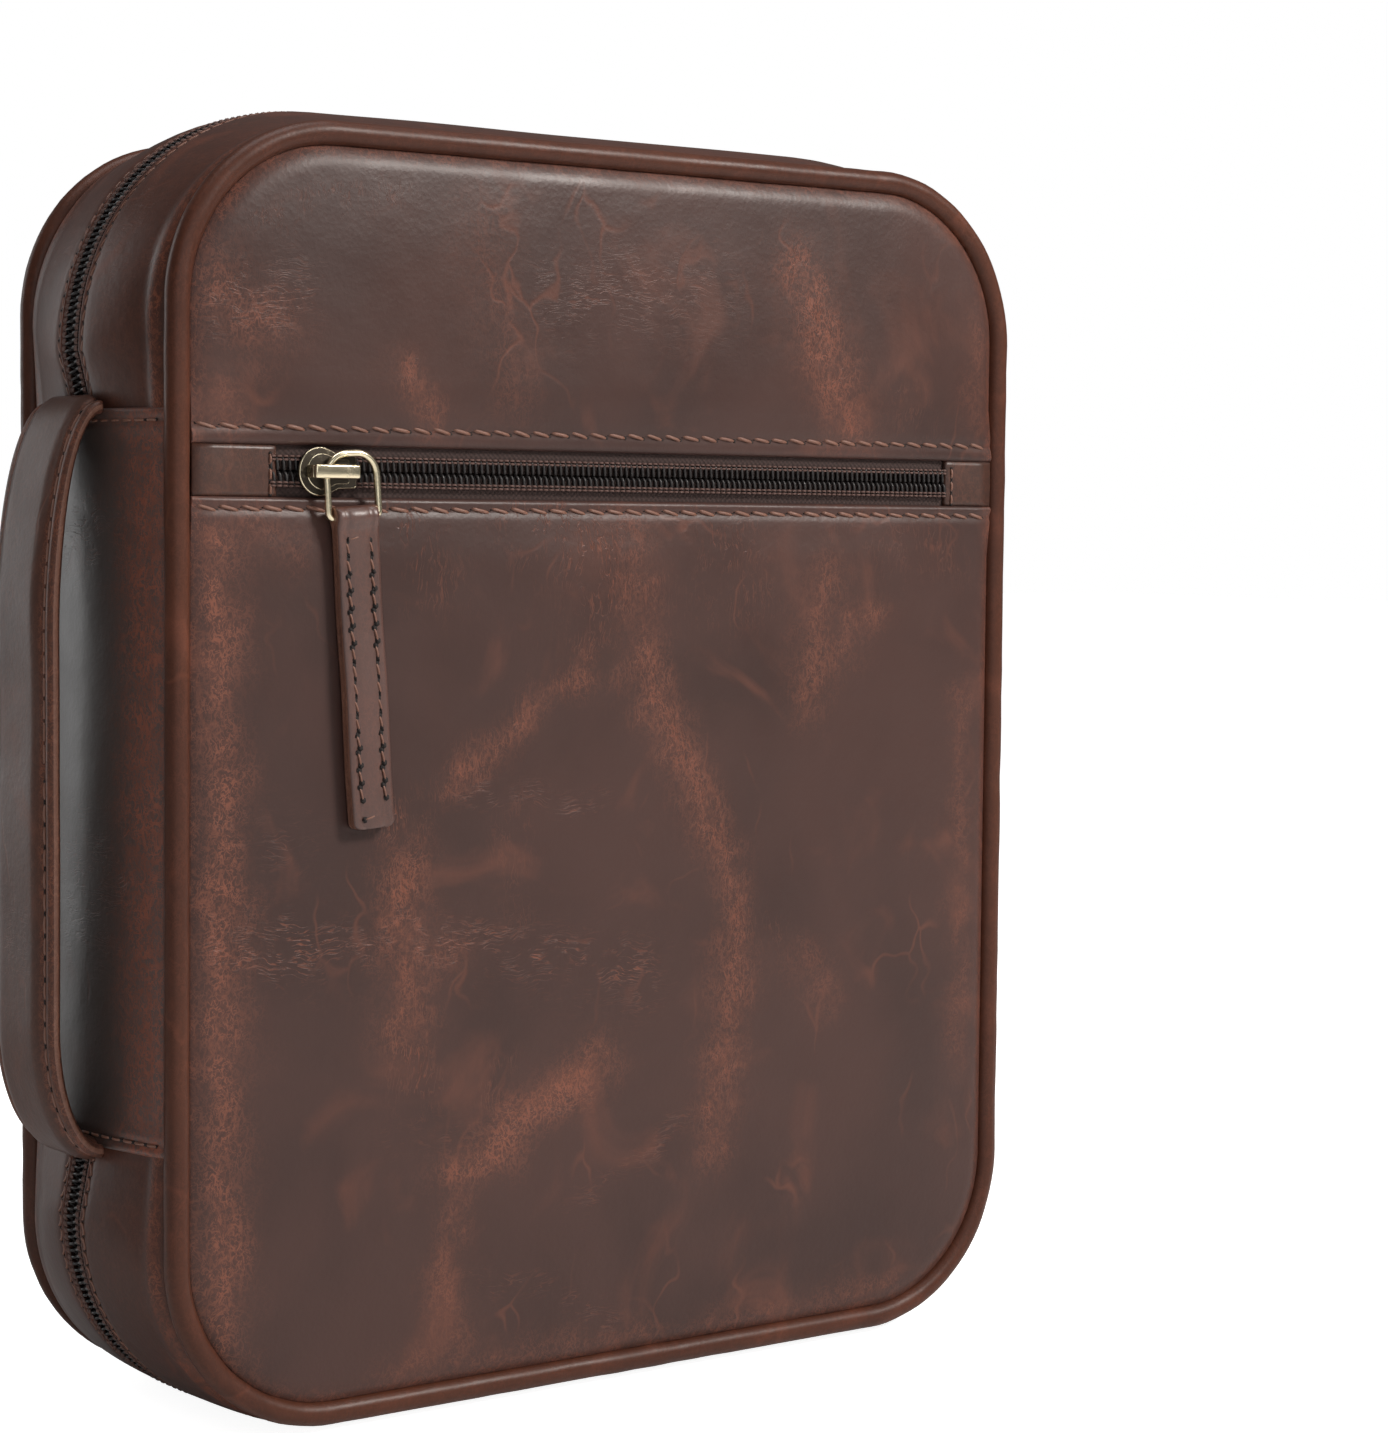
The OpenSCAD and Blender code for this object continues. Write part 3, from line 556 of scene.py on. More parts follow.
# ---- Sewing on the front ----
# Waxed thread in a tan brown lies along every turned edge. Each stitch arches between two punched holes
# and sinks a little into the leather.
thread = material("waxed_thread", (0.17, 0.076, 0.050), 0.5)


def own_noise(made, scale, detail=2.0):
    """A noise in the object's own coordinates, and the material's tree and shader to use it in."""
    tree = made.node_tree
    spot = put(tree, "TexNoise", Scale=scale, Detail=detail, Vector=put(tree, "TexCoord").outputs["Object"])
    return spot.outputs[0], tree, tree.nodes["Principled BSDF"]


twist, tree, shader = own_noise(thread, 2600.0)
tree.links.new(put(tree, "Bump", Height=twist, Distance=0.0001).outputs[0], shader.inputs["Normal"])
# Needle holes: shallow cones in a near-black material. The near-black is painted shade, standing in for the
# shade inside a deep hole.
hole_painted_shade = material("needle_hole_painted_shade", (0.012, 0.007, 0.006), 0.9)


def run_of(path):
    """How far each point of a polyline is from its start, along it."""
    return np.concatenate([[0], np.cumsum(np.linalg.norm(np.diff(path, axis=0), axis=1))])


def along(path, where):
    """Points on a polyline at distances from its start."""
    path = np.asarray(path, float)
    return np.stack([np.interp(where, run_of(path), path[:, k]) for k in range(path.shape[1])], 1)


def length_of(path):
    return float(np.linalg.norm(np.diff(np.asarray(path, float), axis=0), axis=1).sum())


def sew(name, path, out, pitch, radius=0.38 * MM, rise=0.45 * MM, gap=0.8 * MM, slant=0.0, hole=0.42):
    """A row of stitches along a path whose surface faces out, one vector or one for each point."""
    path = np.asarray(path, float)
    out = np.broadcast_to(np.asarray(out, float), path.shape)
    total = length_of(path)
    rng = np.random.RandomState(len(path))
    verts, faces = [], []
    for k in range(int(total / pitch)):
        s0 = k * pitch + gap / 2
        ends = along(path, [s0, s0 + pitch - gap])
        up = along(np.concatenate([path, out], 1), [s0 + (pitch - gap) / 2])[0, 3:]
        up /= np.linalg.norm(up)
        run = ends[1] - ends[0]
        side = np.cross(up, run) * slant * rng.uniform(0.7, 1.3)
        ends = ends + np.array([[-0.5], [0.5]]) * side
        t = np.linspace(0, 1, 6)[:, None]
        arch = ends[0] + t * (ends[1] - ends[0]) + up * ((rise * np.sin(math.pi * t) ** 0.6) - 0.25 * MM)
        v, f = tube(arch, radius * rng.uniform(0.9, 1.1), 6)
        base = len(verts)
        verts += v
        faces += [(tuple(base + i for i in face), 0) for face in f]
        flat = run / np.linalg.norm(run)
        across_stitch = np.cross(up, flat)
        # Each end of a stitch gets a shallow hole in the near-black painted-shade material.
        for end, way in ((ends[0], -1), (ends[1], 1)):
            base = len(verts)
            middle = end + way * flat * 0.1 * MM
            verts += [middle + (up * 0.06 + (math.cos(a) * flat + math.sin(a) * across_stitch) * hole) * MM
                      for a in np.arange(6) * math.pi / 3]
            verts.append(middle - up * 0.3 * MM)
            faces += [((base + i, base + (i + 1) % 6, base + 6), 1) for i in range(6)]
            faces.append((tuple(base + i for i in range(6)), 1))
    return piece(name, verts, faces, [thread, hole_painted_shade])


def front_row(name, z, lift):
    xs = np.linspace(-SEAM_HALF_W + 3.2 * MM, SEAM_HALF_W - 3.2 * MM, 200)
    path = np.stack([xs, -(PANEL_Y + lift(xs, np.full(xs.shape, z))), np.full(xs.shape, z)], 1)
    row = sew(name, path, (0, -1, 0), 5.0 * MM, slant=-0.22, hole=0.5)
    fit(row, "front_cover", "trim_leather")


front_row("upper_panel_stitches", upper_low + UPPER_STITCH_IN, front_upper_lift)
front_row("pocket_panel_stitches", pocket_high - 2.4 * MM, front_pocket_lift)

# ---- Pocket zip ----
# A size 5 nylon coil zip lies under the pocket's opening: two woven tapes, a coil sewn along the edge of
# each, and a leather tab over each end.
ZIP_PITCH, COIL_WIRE_R = 1.45 * MM, 0.33 * MM
weave, into, out = node_group(
    "woven_cloth",
    [("Vector", "Vector", (0, 0, 0)), ("Threads per metre", "Float", 1500.0),
     ("Base", "Color", (0.03, 0.02, 0.02, 1)), ("Light", "Color", (0.06, 0.04, 0.04, 1))],
    [("Color", "Color"), ("Height", "Float")])
turn = put(weave, "VectorMath", "SCALE", i0=into.outputs["Vector"], Scale=into.outputs["Threads per metre"])
parts = put(weave, "SeparateXYZ", Vector=turn.outputs[0])
warp = math_node(weave, "SINE", plus(weave, parts.outputs[0], parts.outputs[1]))
weft = math_node(weave, "SINE", parts.outputs[2])
cross_weave = times(weave, plus(weave, times(weave, warp, weft), 1.0), 0.5)
fuzz = noise(weave, into.outputs["Vector"], 1800, 3)
mixed = plus(weave, times(weave, cross_weave, 0.6), times(weave, fuzz, 0.4))
weave.links.new(mix_colour(weave, mixed, into.outputs["Base"], into.outputs["Light"]), out.inputs["Color"])
weave.links.new(mixed, out.inputs["Height"])


def cloth_material(name, base, light, threads, relief=0.00015, roughness=0.85, **sockets):
    """A woven cloth: base in the hollows and light on the threads, so many threads to the metre."""
    made = material(name, base, roughness, **sockets)
    group = dress(made, weave, relief)
    group.inputs["Threads per metre"].default_value = threads
    group.inputs["Base"].default_value = (*base, 1)
    group.inputs["Light"].default_value = (*light, 1)
    return made


zip_tape = cloth_material("zip_tape", (0.018, 0.010, 0.009), (0.062, 0.033, 0.028), 5200)
zip_nylon = material("zip_nylon", (0.012, 0.009, 0.009), 0.28)
haze, tree, shader = own_noise(zip_nylon, 900.0)
tree.links.new(ramp(tree, haze, -0.4, 1.4), shader.inputs["Roughness"])
zip_thread = material("zip_sewing_thread", (0.10, 0.052, 0.042), 0.75)


def carried(path, side, out, where):
    """The path, its side way and its outward way at distances from its start, in nine columns."""
    path = np.asarray(path, float)
    packed = np.concatenate([path, np.broadcast_to(side, path.shape), np.broadcast_to(out, path.shape)], 1)
    return np.stack([np.interp(where, run_of(path), packed[:, k]) for k in range(9)], 1)


def coil(path, side, out, half_w, half_h, wire, turn_way=1):
    """A coil wound along a path. side points to its edge and out away from the tape."""
    turns = int(length_of(path) / ZIP_PITCH)
    s = np.linspace(0, turns * ZIP_PITCH, turns * 10 + 1)
    packed = carried(path, side, out, s)
    angle = (s / ZIP_PITCH * 2 * math.pi * turn_way)[:, None]
    flat = np.sign(np.cos(angle)) * np.abs(np.cos(angle)) ** 0.6
    wound = packed[:, :3] + packed[:, 3:6] * half_w * flat + packed[:, 6:] * half_h * np.sin(angle)
    return tube(wound, wire, 6)


def zip_sewing(path, side, out, edge):
    """Short threads over the coil, one to each turn, in two rows."""
    s = np.arange(int(length_of(path) / ZIP_PITCH)) * ZIP_PITCH + ZIP_PITCH * 0.1
    a = carried(path, side, out, s)
    b = carried(path, side, out, s + ZIP_PITCH * 0.8)
    verts, faces = [], []
    for p, q in zip(a, b):
        for off in edge:
            start = p[:3] + p[3:6] * off
            end = q[:3] + q[3:6] * off
            middle = (start + end) / 2 + p[6:] * 0.22 * MM
            v, f = tube([start - p[6:] * 0.1 * MM, middle, end - q[6:] * 0.1 * MM], 0.24 * MM, 5)
            base = len(verts)
            verts += v
            faces += [tuple(base + i for i in face) for face in f]
    return verts, faces


zip_low, zip_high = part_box("pocket_zip_coil")
ZIP_Z = (zip_low.z + zip_high.z) / 2
window_x0, window_x1 = zip_low.x, zip_high.x
tape_y = zip_high.y
tape_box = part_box("pocket_zip_tape")
for label, way in (("upper", 1), ("lower", -1)):
    zs = ZIP_Z + way * np.array([0.3, 1.2, 2.2, 3.2, 4.0, 4.8, 5.6, 7.0, 8.2]) * MM
    lifts = np.array([0, 0, 0.05, 0.25, 0.3, 0.28, 0.12, 0, 0]) * MM
    xs = np.linspace(tape_box[0].x, tape_box[1].x, 90)
    x, z = np.meshgrid(xs, zs)
    inside = np.clip((x - window_x0) / (4 * MM), 0, 1) * np.clip((window_x1 - x) / (4 * MM), 0, 1)
    front = np.stack([x, tape_y - lifts[:, None] * inside, z], 2)
    rear = np.stack([x, np.full(x.shape, tape_y + 0.6 * MM), z], 2)
    tape = sheet_shell(f"pocket_tape_{label}", front, rear, zip_tape)
    line = [(window_x0 - 2 * MM, tape_y - 0.86 * MM, ZIP_Z + way * 1.55 * MM),
            (window_x1 + 1 * MM, tape_y - 0.86 * MM, ZIP_Z + way * 1.55 * MM)]
    wound = coil(line, (0, 0, way), (0, -1, 0), 1.32 * MM, 0.5 * MM, COIL_WIRE_R, way)
    teeth = piece(f"pocket_coil_{label}", *wound, zip_nylon)
    raised = [(a, b - 0.62 * MM, c) for a, b, c in line]
    sewing = piece(f"pocket_coil_thread_{label}",
                   *zip_sewing(raised, (0, 0, way), (0, -1, 0), (0.75 * MM, 1.45 * MM)), zip_thread)
    fit(tape, "front_cover", "zip_tape", "pocket_zip_tape")
    fit(teeth, "front_cover", "zip_coil", "pocket_zip_coil")
    fit(sewing, "front_cover", "zip_tape")

tab_leather = leather_material("tab_leather", (0.048, 0.022, 0.016), (0.15, 0.05, 0.028),
                               (0.026, 0.013, 0.010), Rub=0.25, Blotches=0.5)
tab_low, tab_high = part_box("pocket_end_tabs")
for label, x_end, x_edge, way in (("left", tab_low.x, window_x0, 1), ("right", tab_high.x, window_x1, -1)):
    us = np.array([0, 0.25, 0.5, 0.8, 0.9, 0.94, 0.97, 0.99, 1.0])
    drop = np.array([0, 0, 0, 0, 0, 0.05, 0.15, 0.4, 0.8]) * MM
    zs = np.linspace(tab_low.z + 0.05 * MM, tab_high.z - 0.05 * MM, 12)
    u, z = np.meshgrid(us, zs)
    x = x_end + (x_edge - x_end) * u
    bow = 0.5 * MM * np.sin(np.linspace(0, math.pi, 12))[:, None]
    front = np.stack([x, np.broadcast_to(-33.4 * MM + drop, x.shape) - bow * 0.3, z], 2)
    rear = np.stack([x, np.full(x.shape, -32.25 * MM), z], 2)
    tab = sheet_shell(f"pocket_tab_{label}", front, rear, tab_leather)
    row_x = x_edge - way * 1.8 * MM
    line = [(row_x, -33.5 * MM, tab_low.z), (row_x, -33.5 * MM, tab_high.z)]
    row = sew(f"pocket_tab_stitches_{label}", line, (0, -1, 0), 3.0 * MM, 0.3 * MM)
    fit(tab, "front_cover", "trim_leather", "pocket_end_tabs")
    fit(row, "front_cover", "trim_leather")

# ---- Pocket slider, ring and pull ----
# A cast zip slider in antique brass, dark in the hollows and bright where it is handled. A wire ring
# passes under its bridge and carries a doubled leather pull, sewn down both sides.
tarnish, into, out = node_group(
    "tarnish",
    [("Vector", "Vector", (0, 0, 0)), ("Bright", "Color", (0.86, 0.76, 0.54, 1)),
     ("Dark", "Color", (0.045, 0.038, 0.030, 1)), ("Amount", "Float", 0.3)],
    [("Color", "Color"), ("Roughness", "Float"), ("Height", "Float")])
cloud = noise(tarnish, into.outputs["Vector"], 260, 5, 0.8)
speck = noise(tarnish, into.outputs["Vector"], 1500, 4)
share = ramp(tarnish, plus(tarnish, times(tarnish, cloud, 0.7), times(tarnish, speck, 0.3)), 0.62, 0.35)
share = plus(tarnish, times(tarnish, share, 0.5), math_node(
    tarnish, "SUBTRACT", into.outputs["Amount"], 0.25), True)
tarnish.links.new(mix_colour(tarnish, share, into.outputs["Bright"], into.outputs["Dark"]),
                  out.inputs["Color"])
tarnish.links.new(plus(tarnish, times(tarnish, share, 0.3), 0.2), out.inputs["Roughness"])
tarnish.links.new(speck, out.inputs["Height"])


def brass_material(name, amount):
    """Antique brass, more of it tarnished the larger the amount."""
    made = material(name, Metallic=1.0)
    dress(made, tarnish, 0.000012).inputs["Amount"].default_value = amount
    return made


dark_brass = brass_material("dark_brass", 1.2)
bright_brass = brass_material("bright_brass", 0.02)


def joined(*parts):
    verts, faces = [], []
    for v, f in parts:
        base = len(verts)
        verts += [tuple(p) for p in v]
        faces += [tuple(base + i for i in face) for face in f]
    return verts, faces


def placed(matrix, part):
    return [matrix @ Vector(v) for v in part[0]], part[1]


def plate(outline, z0, z1, bevel):
    """A flat plate with rounded edges, from its outline in x and y."""
    outline = np.asarray(outline, float)
    before, after = np.roll(outline, 1, 0), np.roll(outline, -1, 0)
    run = after - before
    run /= np.linalg.norm(run, axis=1)[:, None]
    inward = np.stack([-run[:, 1], run[:, 0]], 1)
    verts = []
    levels = [(z0, 1.0), (z0 + 0.3 * bevel, 0.3), (z0 + bevel, 0.0), (z1 - bevel, 0.0),
              (z1 - 0.6 * bevel, 0.08), (z1 - 0.3 * bevel, 0.3), (z1 - 0.08 * bevel, 0.6), (z1, 1.0)]
    for z, part in levels:
        verts += [(x, y, z) for x, y in outline + inward * bevel * part]
    n = len(outline)
    faces = [tuple(range(n - 1, -1, -1)), tuple((len(levels) - 1) * n + k for k in range(n))]
    for level in range(len(levels) - 1):
        for k in range(n):
            a, b = level * n + k, level * n + (k + 1) % n
            faces.append((a, b, b + n, a + n))
    return verts, faces


def soft_block(size, centre, bevel):
    """A block with rounded edges."""
    made = bmesh.new()
    bmesh.ops.create_cube(made, size=1.0, matrix=Matrix.Translation(centre) @ Matrix.Diagonal((*size, 1)))
    bmesh.ops.bevel(made, geom=made.edges[:], offset=bevel, segments=3, affect="EDGES", profile=0.5)
    made.verts.index_update()
    verts = [tuple(v.co) for v in made.verts]
    faces = [tuple(v.index for v in f.verts) for f in made.faces]
    made.free()
    return verts, faces


def slider_outline():
    """Seen from above, anticlockwise: a round head at -x and a narrower straight tail."""
    head = [(-1.75 + 5 * math.cos(math.radians(a)), 5 * math.sin(math.radians(a))) for a in range(68, 293, 9)]
    tail = [(2.6, -3.5), (6.25, -3.4), (6.75, -2.9)]
    return np.array([(x, -z) for x, z in tail[::-1]] + head + tail) * MM


def slider(name, at, body, nodes):
    """A slider: upper and lower plates, the web between them, and the bridge for its ring."""
    rim = slider_outline()
    inner = rim * 0.74 + np.array([-0.1, 0]) * MM
    shell = joined(plate(rim, 0.2 * MM, 1.25 * MM, 0.35 * MM), plate(inner, 1.0 * MM, 1.5 * MM, 0.25 * MM),
                   plate(rim, -3.7 * MM, -2.7 * MM, 0.3 * MM),
                   soft_block((8.5 * MM, 0.4 * MM, 3.6 * MM), (-0.5 * MM, 0, -1.1 * MM), 0.05 * MM))
    metal = piece(f"{name}_body", *placed(at, shell), [dark_brass, bright_brass])
    up = at.to_3x3() @ Vector((0, 0, 1))
    for polygon in metal.data.polygons:
        polygon.material_index = int(0.12 < polygon.normal @ up < 0.97)
    arm = joined(soft_block((1.5 * MM, 2.6 * MM, 2.9 * MM), (-4.5 * MM, 0, 2.8 * MM), 0.35 * MM),
                 soft_block((1.5 * MM, 2.6 * MM, 2.9 * MM), (4.5 * MM, 0, 2.8 * MM), 0.35 * MM),
                 soft_block((10.5 * MM, 2.8 * MM, 1.3 * MM), (0, 0, 4.75 * MM), 0.4 * MM))
    bridge = piece(f"{name}_bridge_arm", *placed(at, arm), bright_brass)
    for one, node in ((metal, nodes[0]), (bridge, nodes[1])):
        fit(one, body, "antique_brass", node)


RING_W, RING_H, WIRE_R = 11.9 * MM, 13 * MM, 0.75 * MM


def ring(name, at, top_r, body, node):
    low_r = 1.2 * MM
    x, h = RING_W / 2, RING_H
    loop = arc(-x + top_r, -top_r, top_r, 180, 90, 10) + arc(x - top_r, -top_r, top_r, 90, 0, 10) \
        + arc(x - low_r, -h + low_r, low_r, 0, -90, 6) + arc(-x + low_r, -h + low_r, low_r, -90, -180, 6)
    flat = [(a, b, 0) for a, b in loop]
    made = piece(name, *placed(at, tube(flat, WIRE_R, 12, True)), bright_brass)
    fit(made, body, "antique_brass", node)


pull_leather = leather_material("pull_leather", (0.078, 0.028, 0.019), (0.19, 0.06, 0.034),
                                (0.036, 0.016, 0.012), specular=0.8, Rub=0.15, Blotches=0.4)
cut_edge = leather_material("cut_edge", (0.17, 0.075, 0.05), (0.30, 0.15, 0.10), (0.08, 0.035, 0.026), 0.0002,
                            Rub=0.3)


def pull(name, at, length, body, node):
    """A strap folded round its ring's wire and hanging down -y, sewn round its edge through both layers."""
    half_w, tip = 5.0 * MM, 1.6 * MM
    vs = [-2.34, -2.2, -1.8, -1.2, -0.5, 0.4, 1.4, 2.4, 3.4, 5.0] + list(np.arange(7, length / MM - 2, 2.0))
    vs = np.array(vs + [length / MM - d for d in (1.6, 1.1, 0.6, 0.25, 0.0)]) * MM
    half = [(-1, 0.0), (-1, 0.25), (-0.985, 0.72), (-0.93, 0.95), (-0.8, 1.0), (-0.66, 0.98), (-0.56, 0.84),
            (-0.46, 0.98), (-0.2, 1.03)]
    section = half + [(-a, b) for a, b in half[::-1]]
    closed = section + [(-a, -b) for a, b in section[1:-1]]
    verts, faces = [], []
    for v in vs:
        thick = 1.5 * MM
        if v < 3.4 * MM:
            fold = math.sqrt(max((2.35 * MM) ** 2 - v * v, 0)) if v < 1.8 * MM else 0
            thick = max(fold, 1.5 * MM * min(1, max(0, (v + 2.34 * MM) / (0.4 * MM)) + 0.05))
        left = length - v
        w = half_w - (tip - math.sqrt(max(tip ** 2 - max(tip - left, 0) ** 2, 0)))
        wave = 0.1 * MM * math.sin(v * 190 + 1)
        for a, b in closed:
            waist = 1 - 0.05 * (abs(b) < 0.2)
            verts.append((a * w * waist + wave * 0.4, -v, b * thick + wave))
    n = len(closed)
    for r in range(len(vs) - 1):
        for k in range(n):
            b = (k + 1) % n
            edge = max(abs(closed[k][1]), abs(closed[b][1])) < 0.8 and abs(closed[k][0]) > 0.95
            faces.append(((r * n + k, r * n + b, (r + 1) * n + b, (r + 1) * n + k), int(edge)))
    faces.append((tuple(range(n)), 0))
    faces.append((tuple((len(vs) - 1) * n + k for k in range(n)), 1))
    strap = piece(name, placed(at, (verts, faces))[0], faces, [pull_leather, cut_edge])
    rows = []
    for sx in (-1, 1):
        rows.append([(sx * 2.8 * MM, -4.4 * MM, 1.42 * MM), (sx * 2.8 * MM, -length + 2.4 * MM, 1.42 * MM)])
    for z, x0 in ((-4.2 * MM, 2.8 * MM), (-length + 2.3 * MM, 2.8 * MM)):
        rows.append([(-x0, z, 1.46 * MM), (x0, z, 1.46 * MM)])
    for k, row in enumerate(rows):
        line = [at @ Vector(p) for p in row]
        stitches = sew(f"{name}_stitches_{k}", line, at.to_3x3() @ Vector((0, 0, 1)), 3.6 * MM, 0.26 * MM,
                       0.32 * MM, 1.1 * MM, slant=0.26, hole=0.72)
        fit(stitches, body, "trim_leather")
    fit(strap, body, "trim_leather", node)


pocket_at = Matrix.Translation((-76.15 * MM, -34 * MM, ZIP_Z)) @ Matrix.Rotation(math.radians(90), 4, "X")
ring_at = pocket_at @ Matrix.Translation((-1 * MM, 0, 2.8 * MM)) @ Matrix.Rotation(math.radians(4), 4, "Z") \
    @ Matrix.Translation((RING_W / 2 - 0.4 * MM, 3.4 * MM, 0))
slider("pocket_slider", pocket_at, "pocket_slider", ("pocket_slider", "pocket_slider_bridge"))
ring("pocket_ring_wire", ring_at, 4.8 * MM, "pocket_ring", "pocket_pull_ring")
strap_at = ring_at @ Matrix.Translation((0, -RING_H, 0))
pull("pocket_pull_leather", strap_at, 64 * MM, "pocket_strap", "pocket_pull_strap")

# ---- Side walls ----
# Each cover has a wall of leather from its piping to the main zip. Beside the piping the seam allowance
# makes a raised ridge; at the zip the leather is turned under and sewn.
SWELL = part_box("front_gusset")[1].x - SEAM_HALF_W
panel_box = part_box("spine_panel")
PANEL_LOW_Z, PANEL_HIGH_Z = panel_box[0].z, panel_box[1].z


def wall_outline(half_w, low, high, r_top, r_base, x_end):
    """From under the spine panel's top edge clockwise to under its lower edge, in x and z."""
    tuck = 4 * MM
    tl = arc(-half_w + r_top, high - r_top, r_top, 180, 90, 22)
    tr = arc(half_w - r_top, high - r_top, r_top, 90, 0, 22)
    br = arc(half_w - r_base, low + r_base, r_base, 0, -90, 22)
    bl = arc(-half_w + r_base, low + r_base, r_base, -90, -180, 22)
    first, last = (-x_end, PANEL_HIGH_Z), (-x_end, PANEL_LOW_Z)
    return np.array([(-x_end, PANEL_HIGH_Z - tuck), (-x_end, PANEL_HIGH_Z - tuck / 2), first]
                    + line_between(first, tl[0], 6) + tl + line_between(tl[-1], tr[0], 40) + tr
                    + line_between(tr[-1], br[0], 60) + br + line_between(br[-1], bl[0], 40) + bl
                    + line_between(bl[-1], last, 6) + [last]
                    + [(-x_end, PANEL_LOW_Z + tuck / 2), (-x_end, PANEL_LOW_Z + tuck)])


ROW_COUNT = len(wall_outline(0.1, 0, 0.2, 0.03, 0.03, 0.1))
BR_FIRST = 3 + 5 + 23 + 39 + 23 + 59
on_base = np.zeros(ROW_COUNT)
on_base[BR_FIRST:BR_FIRST + 23] = np.linspace(0, 1, 23)
on_base[BR_FIRST + 23:BR_FIRST + 62] = 1
on_base[BR_FIRST + 62:BR_FIRST + 85] = np.linspace(1, 0, 23)
MID_ROW = 3 + 5 + 23 + 39 + 23 + 29


def wall_line(y, off, side):
    """The wall's line at distance y from the zip's plane, raised off its surface."""
    seam = wall_outline(SEAM_HALF_W + off, SEAM_LOW - off, SEAM_TOP + off, CORNER_R + off, CORNER_R + off,
                        SEAM_HALF_W + off)
    crest = wall_outline(SEAM_HALF_W + SWELL + off, -off, SEAM_TOP + SWELL + off, CORNER_R + 16 * MM + off,
                         CORNER_R + 9 * MM + off, SEAM_HALF_W + 4.5 * MM + off)
    u = min(1, max(0, (SEAM_Y - y) / (28.4 * MM)))
    swell = (1 - on_base) * math.sin(math.pi / 2 * u) + on_base * min(1, 3.6 * u)
    flat = seam + (crest - seam) * swell[:, None]
    return np.stack([flat[:, 0], np.full(ROW_COUNT, side * y), flat[:, 1]], 1)


def wall_out(line):
    """The outward direction along a wall's line."""
    run = np.gradient(line, axis=0)
    out = np.stack([-run[:, 2], np.zeros(len(line)), run[:, 0]], 1)
    return out / np.linalg.norm(out, axis=1)[:, None]


wall_leather = leather_material("wall_leather", (0.066, 0.026, 0.018), (0.18, 0.055, 0.030),
                                (0.029, 0.016, 0.013), specular=0.24, Blotches=0.55)
wall_profile = [(30.2, -1.7), (28.9, -0.9), (28.4, -0.25), (27.6, 0.2), (26.6, 0.38), (25.6, 0.36),
                (24.6, 0.1), (23.6, -0.12), (22.6, -0.1), (21.4, 0), (19, 0), (16.5, 0), (14, 0), (11.5, 0),
                (9.5, 0), (8, 0), (6.8, -0.02), (6.0, -0.12), (5.4, -0.3), (5.1, -0.34), (4.8, -0.28),
                (4.3, -0.06), (3.95, -0.12), (3.7, -0.4), (3.6, -0.9)]
HALVES = (("upper", slice(0, MID_ROW + 1), 1, (-0.114, 0, 0.2115), "last"),
          ("lower", slice(MID_ROW, ROW_COUNT), -1, (-0.114, 0, 0.0605), "first"))


def fit_folding(obj, slot, side, way, start, *nodes):
    """The object keeps the shape it is built in, its transform baked into its mesh, and stands for nodes, if
    any, which are hidden. slot, side, way and start are not used.
    """
    if nodes:
        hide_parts(*nodes)
    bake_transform(obj)


def wall_strip(profile, thick, side):
    """The two faces of a strip along the wall; profile is (distance from the zip's plane, depth) in mm."""
    return [np.stack([wall_line(y * MM, (off - sunk) * MM, side) for y, off in profile], 1)
            for sunk in (0, thick)]


for cover, side in (("front", -1), ("back", 1)):
    lines = []
    for y, off in wall_profile:
        base = wall_line(y * MM, 0, side)
        wave = 0.22 * MM * soft_waves(base[:, 0] + base[:, 2] * 1.3, np.full(ROW_COUNT, y * 0.9 * MM), 0.045,
                                      31 + side)
        level_part = np.clip((y - 4) / 5, 0, 1) * np.clip((29.3 - y) / 5, 0, 1) * (1 - on_base)
        lines.append(base + wall_out(base) * (off * MM + (wave - 0.12 * MM) * level_part)[:, None])
    outer = np.stack(lines, 1)
    inner = np.stack([wall_line(y * MM, -LEATHER_T, side) for y, off in wall_profile], 1)
    rub = [0.7 if 25 <= y <= 28 else (0.35 if y < 4.6 else 0.12) for y, off in wall_profile]
    for half, rows, way, start, open_row in HALVES:
        wall = sheet_shell(f"{cover}_wall_{half}", outer[rows], inner[rows], wall_leather, open_row)
        count = outer[rows].shape[0]
        paint(wall, "rub", np.tile(np.array(rub), 2 * count))
        middle_band = np.tile([0.35 if 8 <= y <= 24 else 0 for y, off in wall_profile], 2 * count)
        x, z = outer[rows][:, 0, 0].repeat(2), outer[rows][:, 0, 2].repeat(2)
        patches = np.clip(soft_waves(x, z, 0.06, 3), 0, 1)
        paint(wall, "level", middle_band * np.repeat(patches, len(wall_profile)))
        edge = wall_line(5.1 * MM, -0.34 * MM, side)[rows]
        stitches = sew(f"{cover}_wall_stitches_{half}", edge, wall_out(edge), 3.1 * MM, 0.27 * MM, 0.3 * MM,
                       0.7 * MM, slant=0.35 * side)
        fit_folding(wall, "case_leather", side, way, start, f"{cover}_gusset")
        fit_folding(stitches, "case_leather", side, way, start)

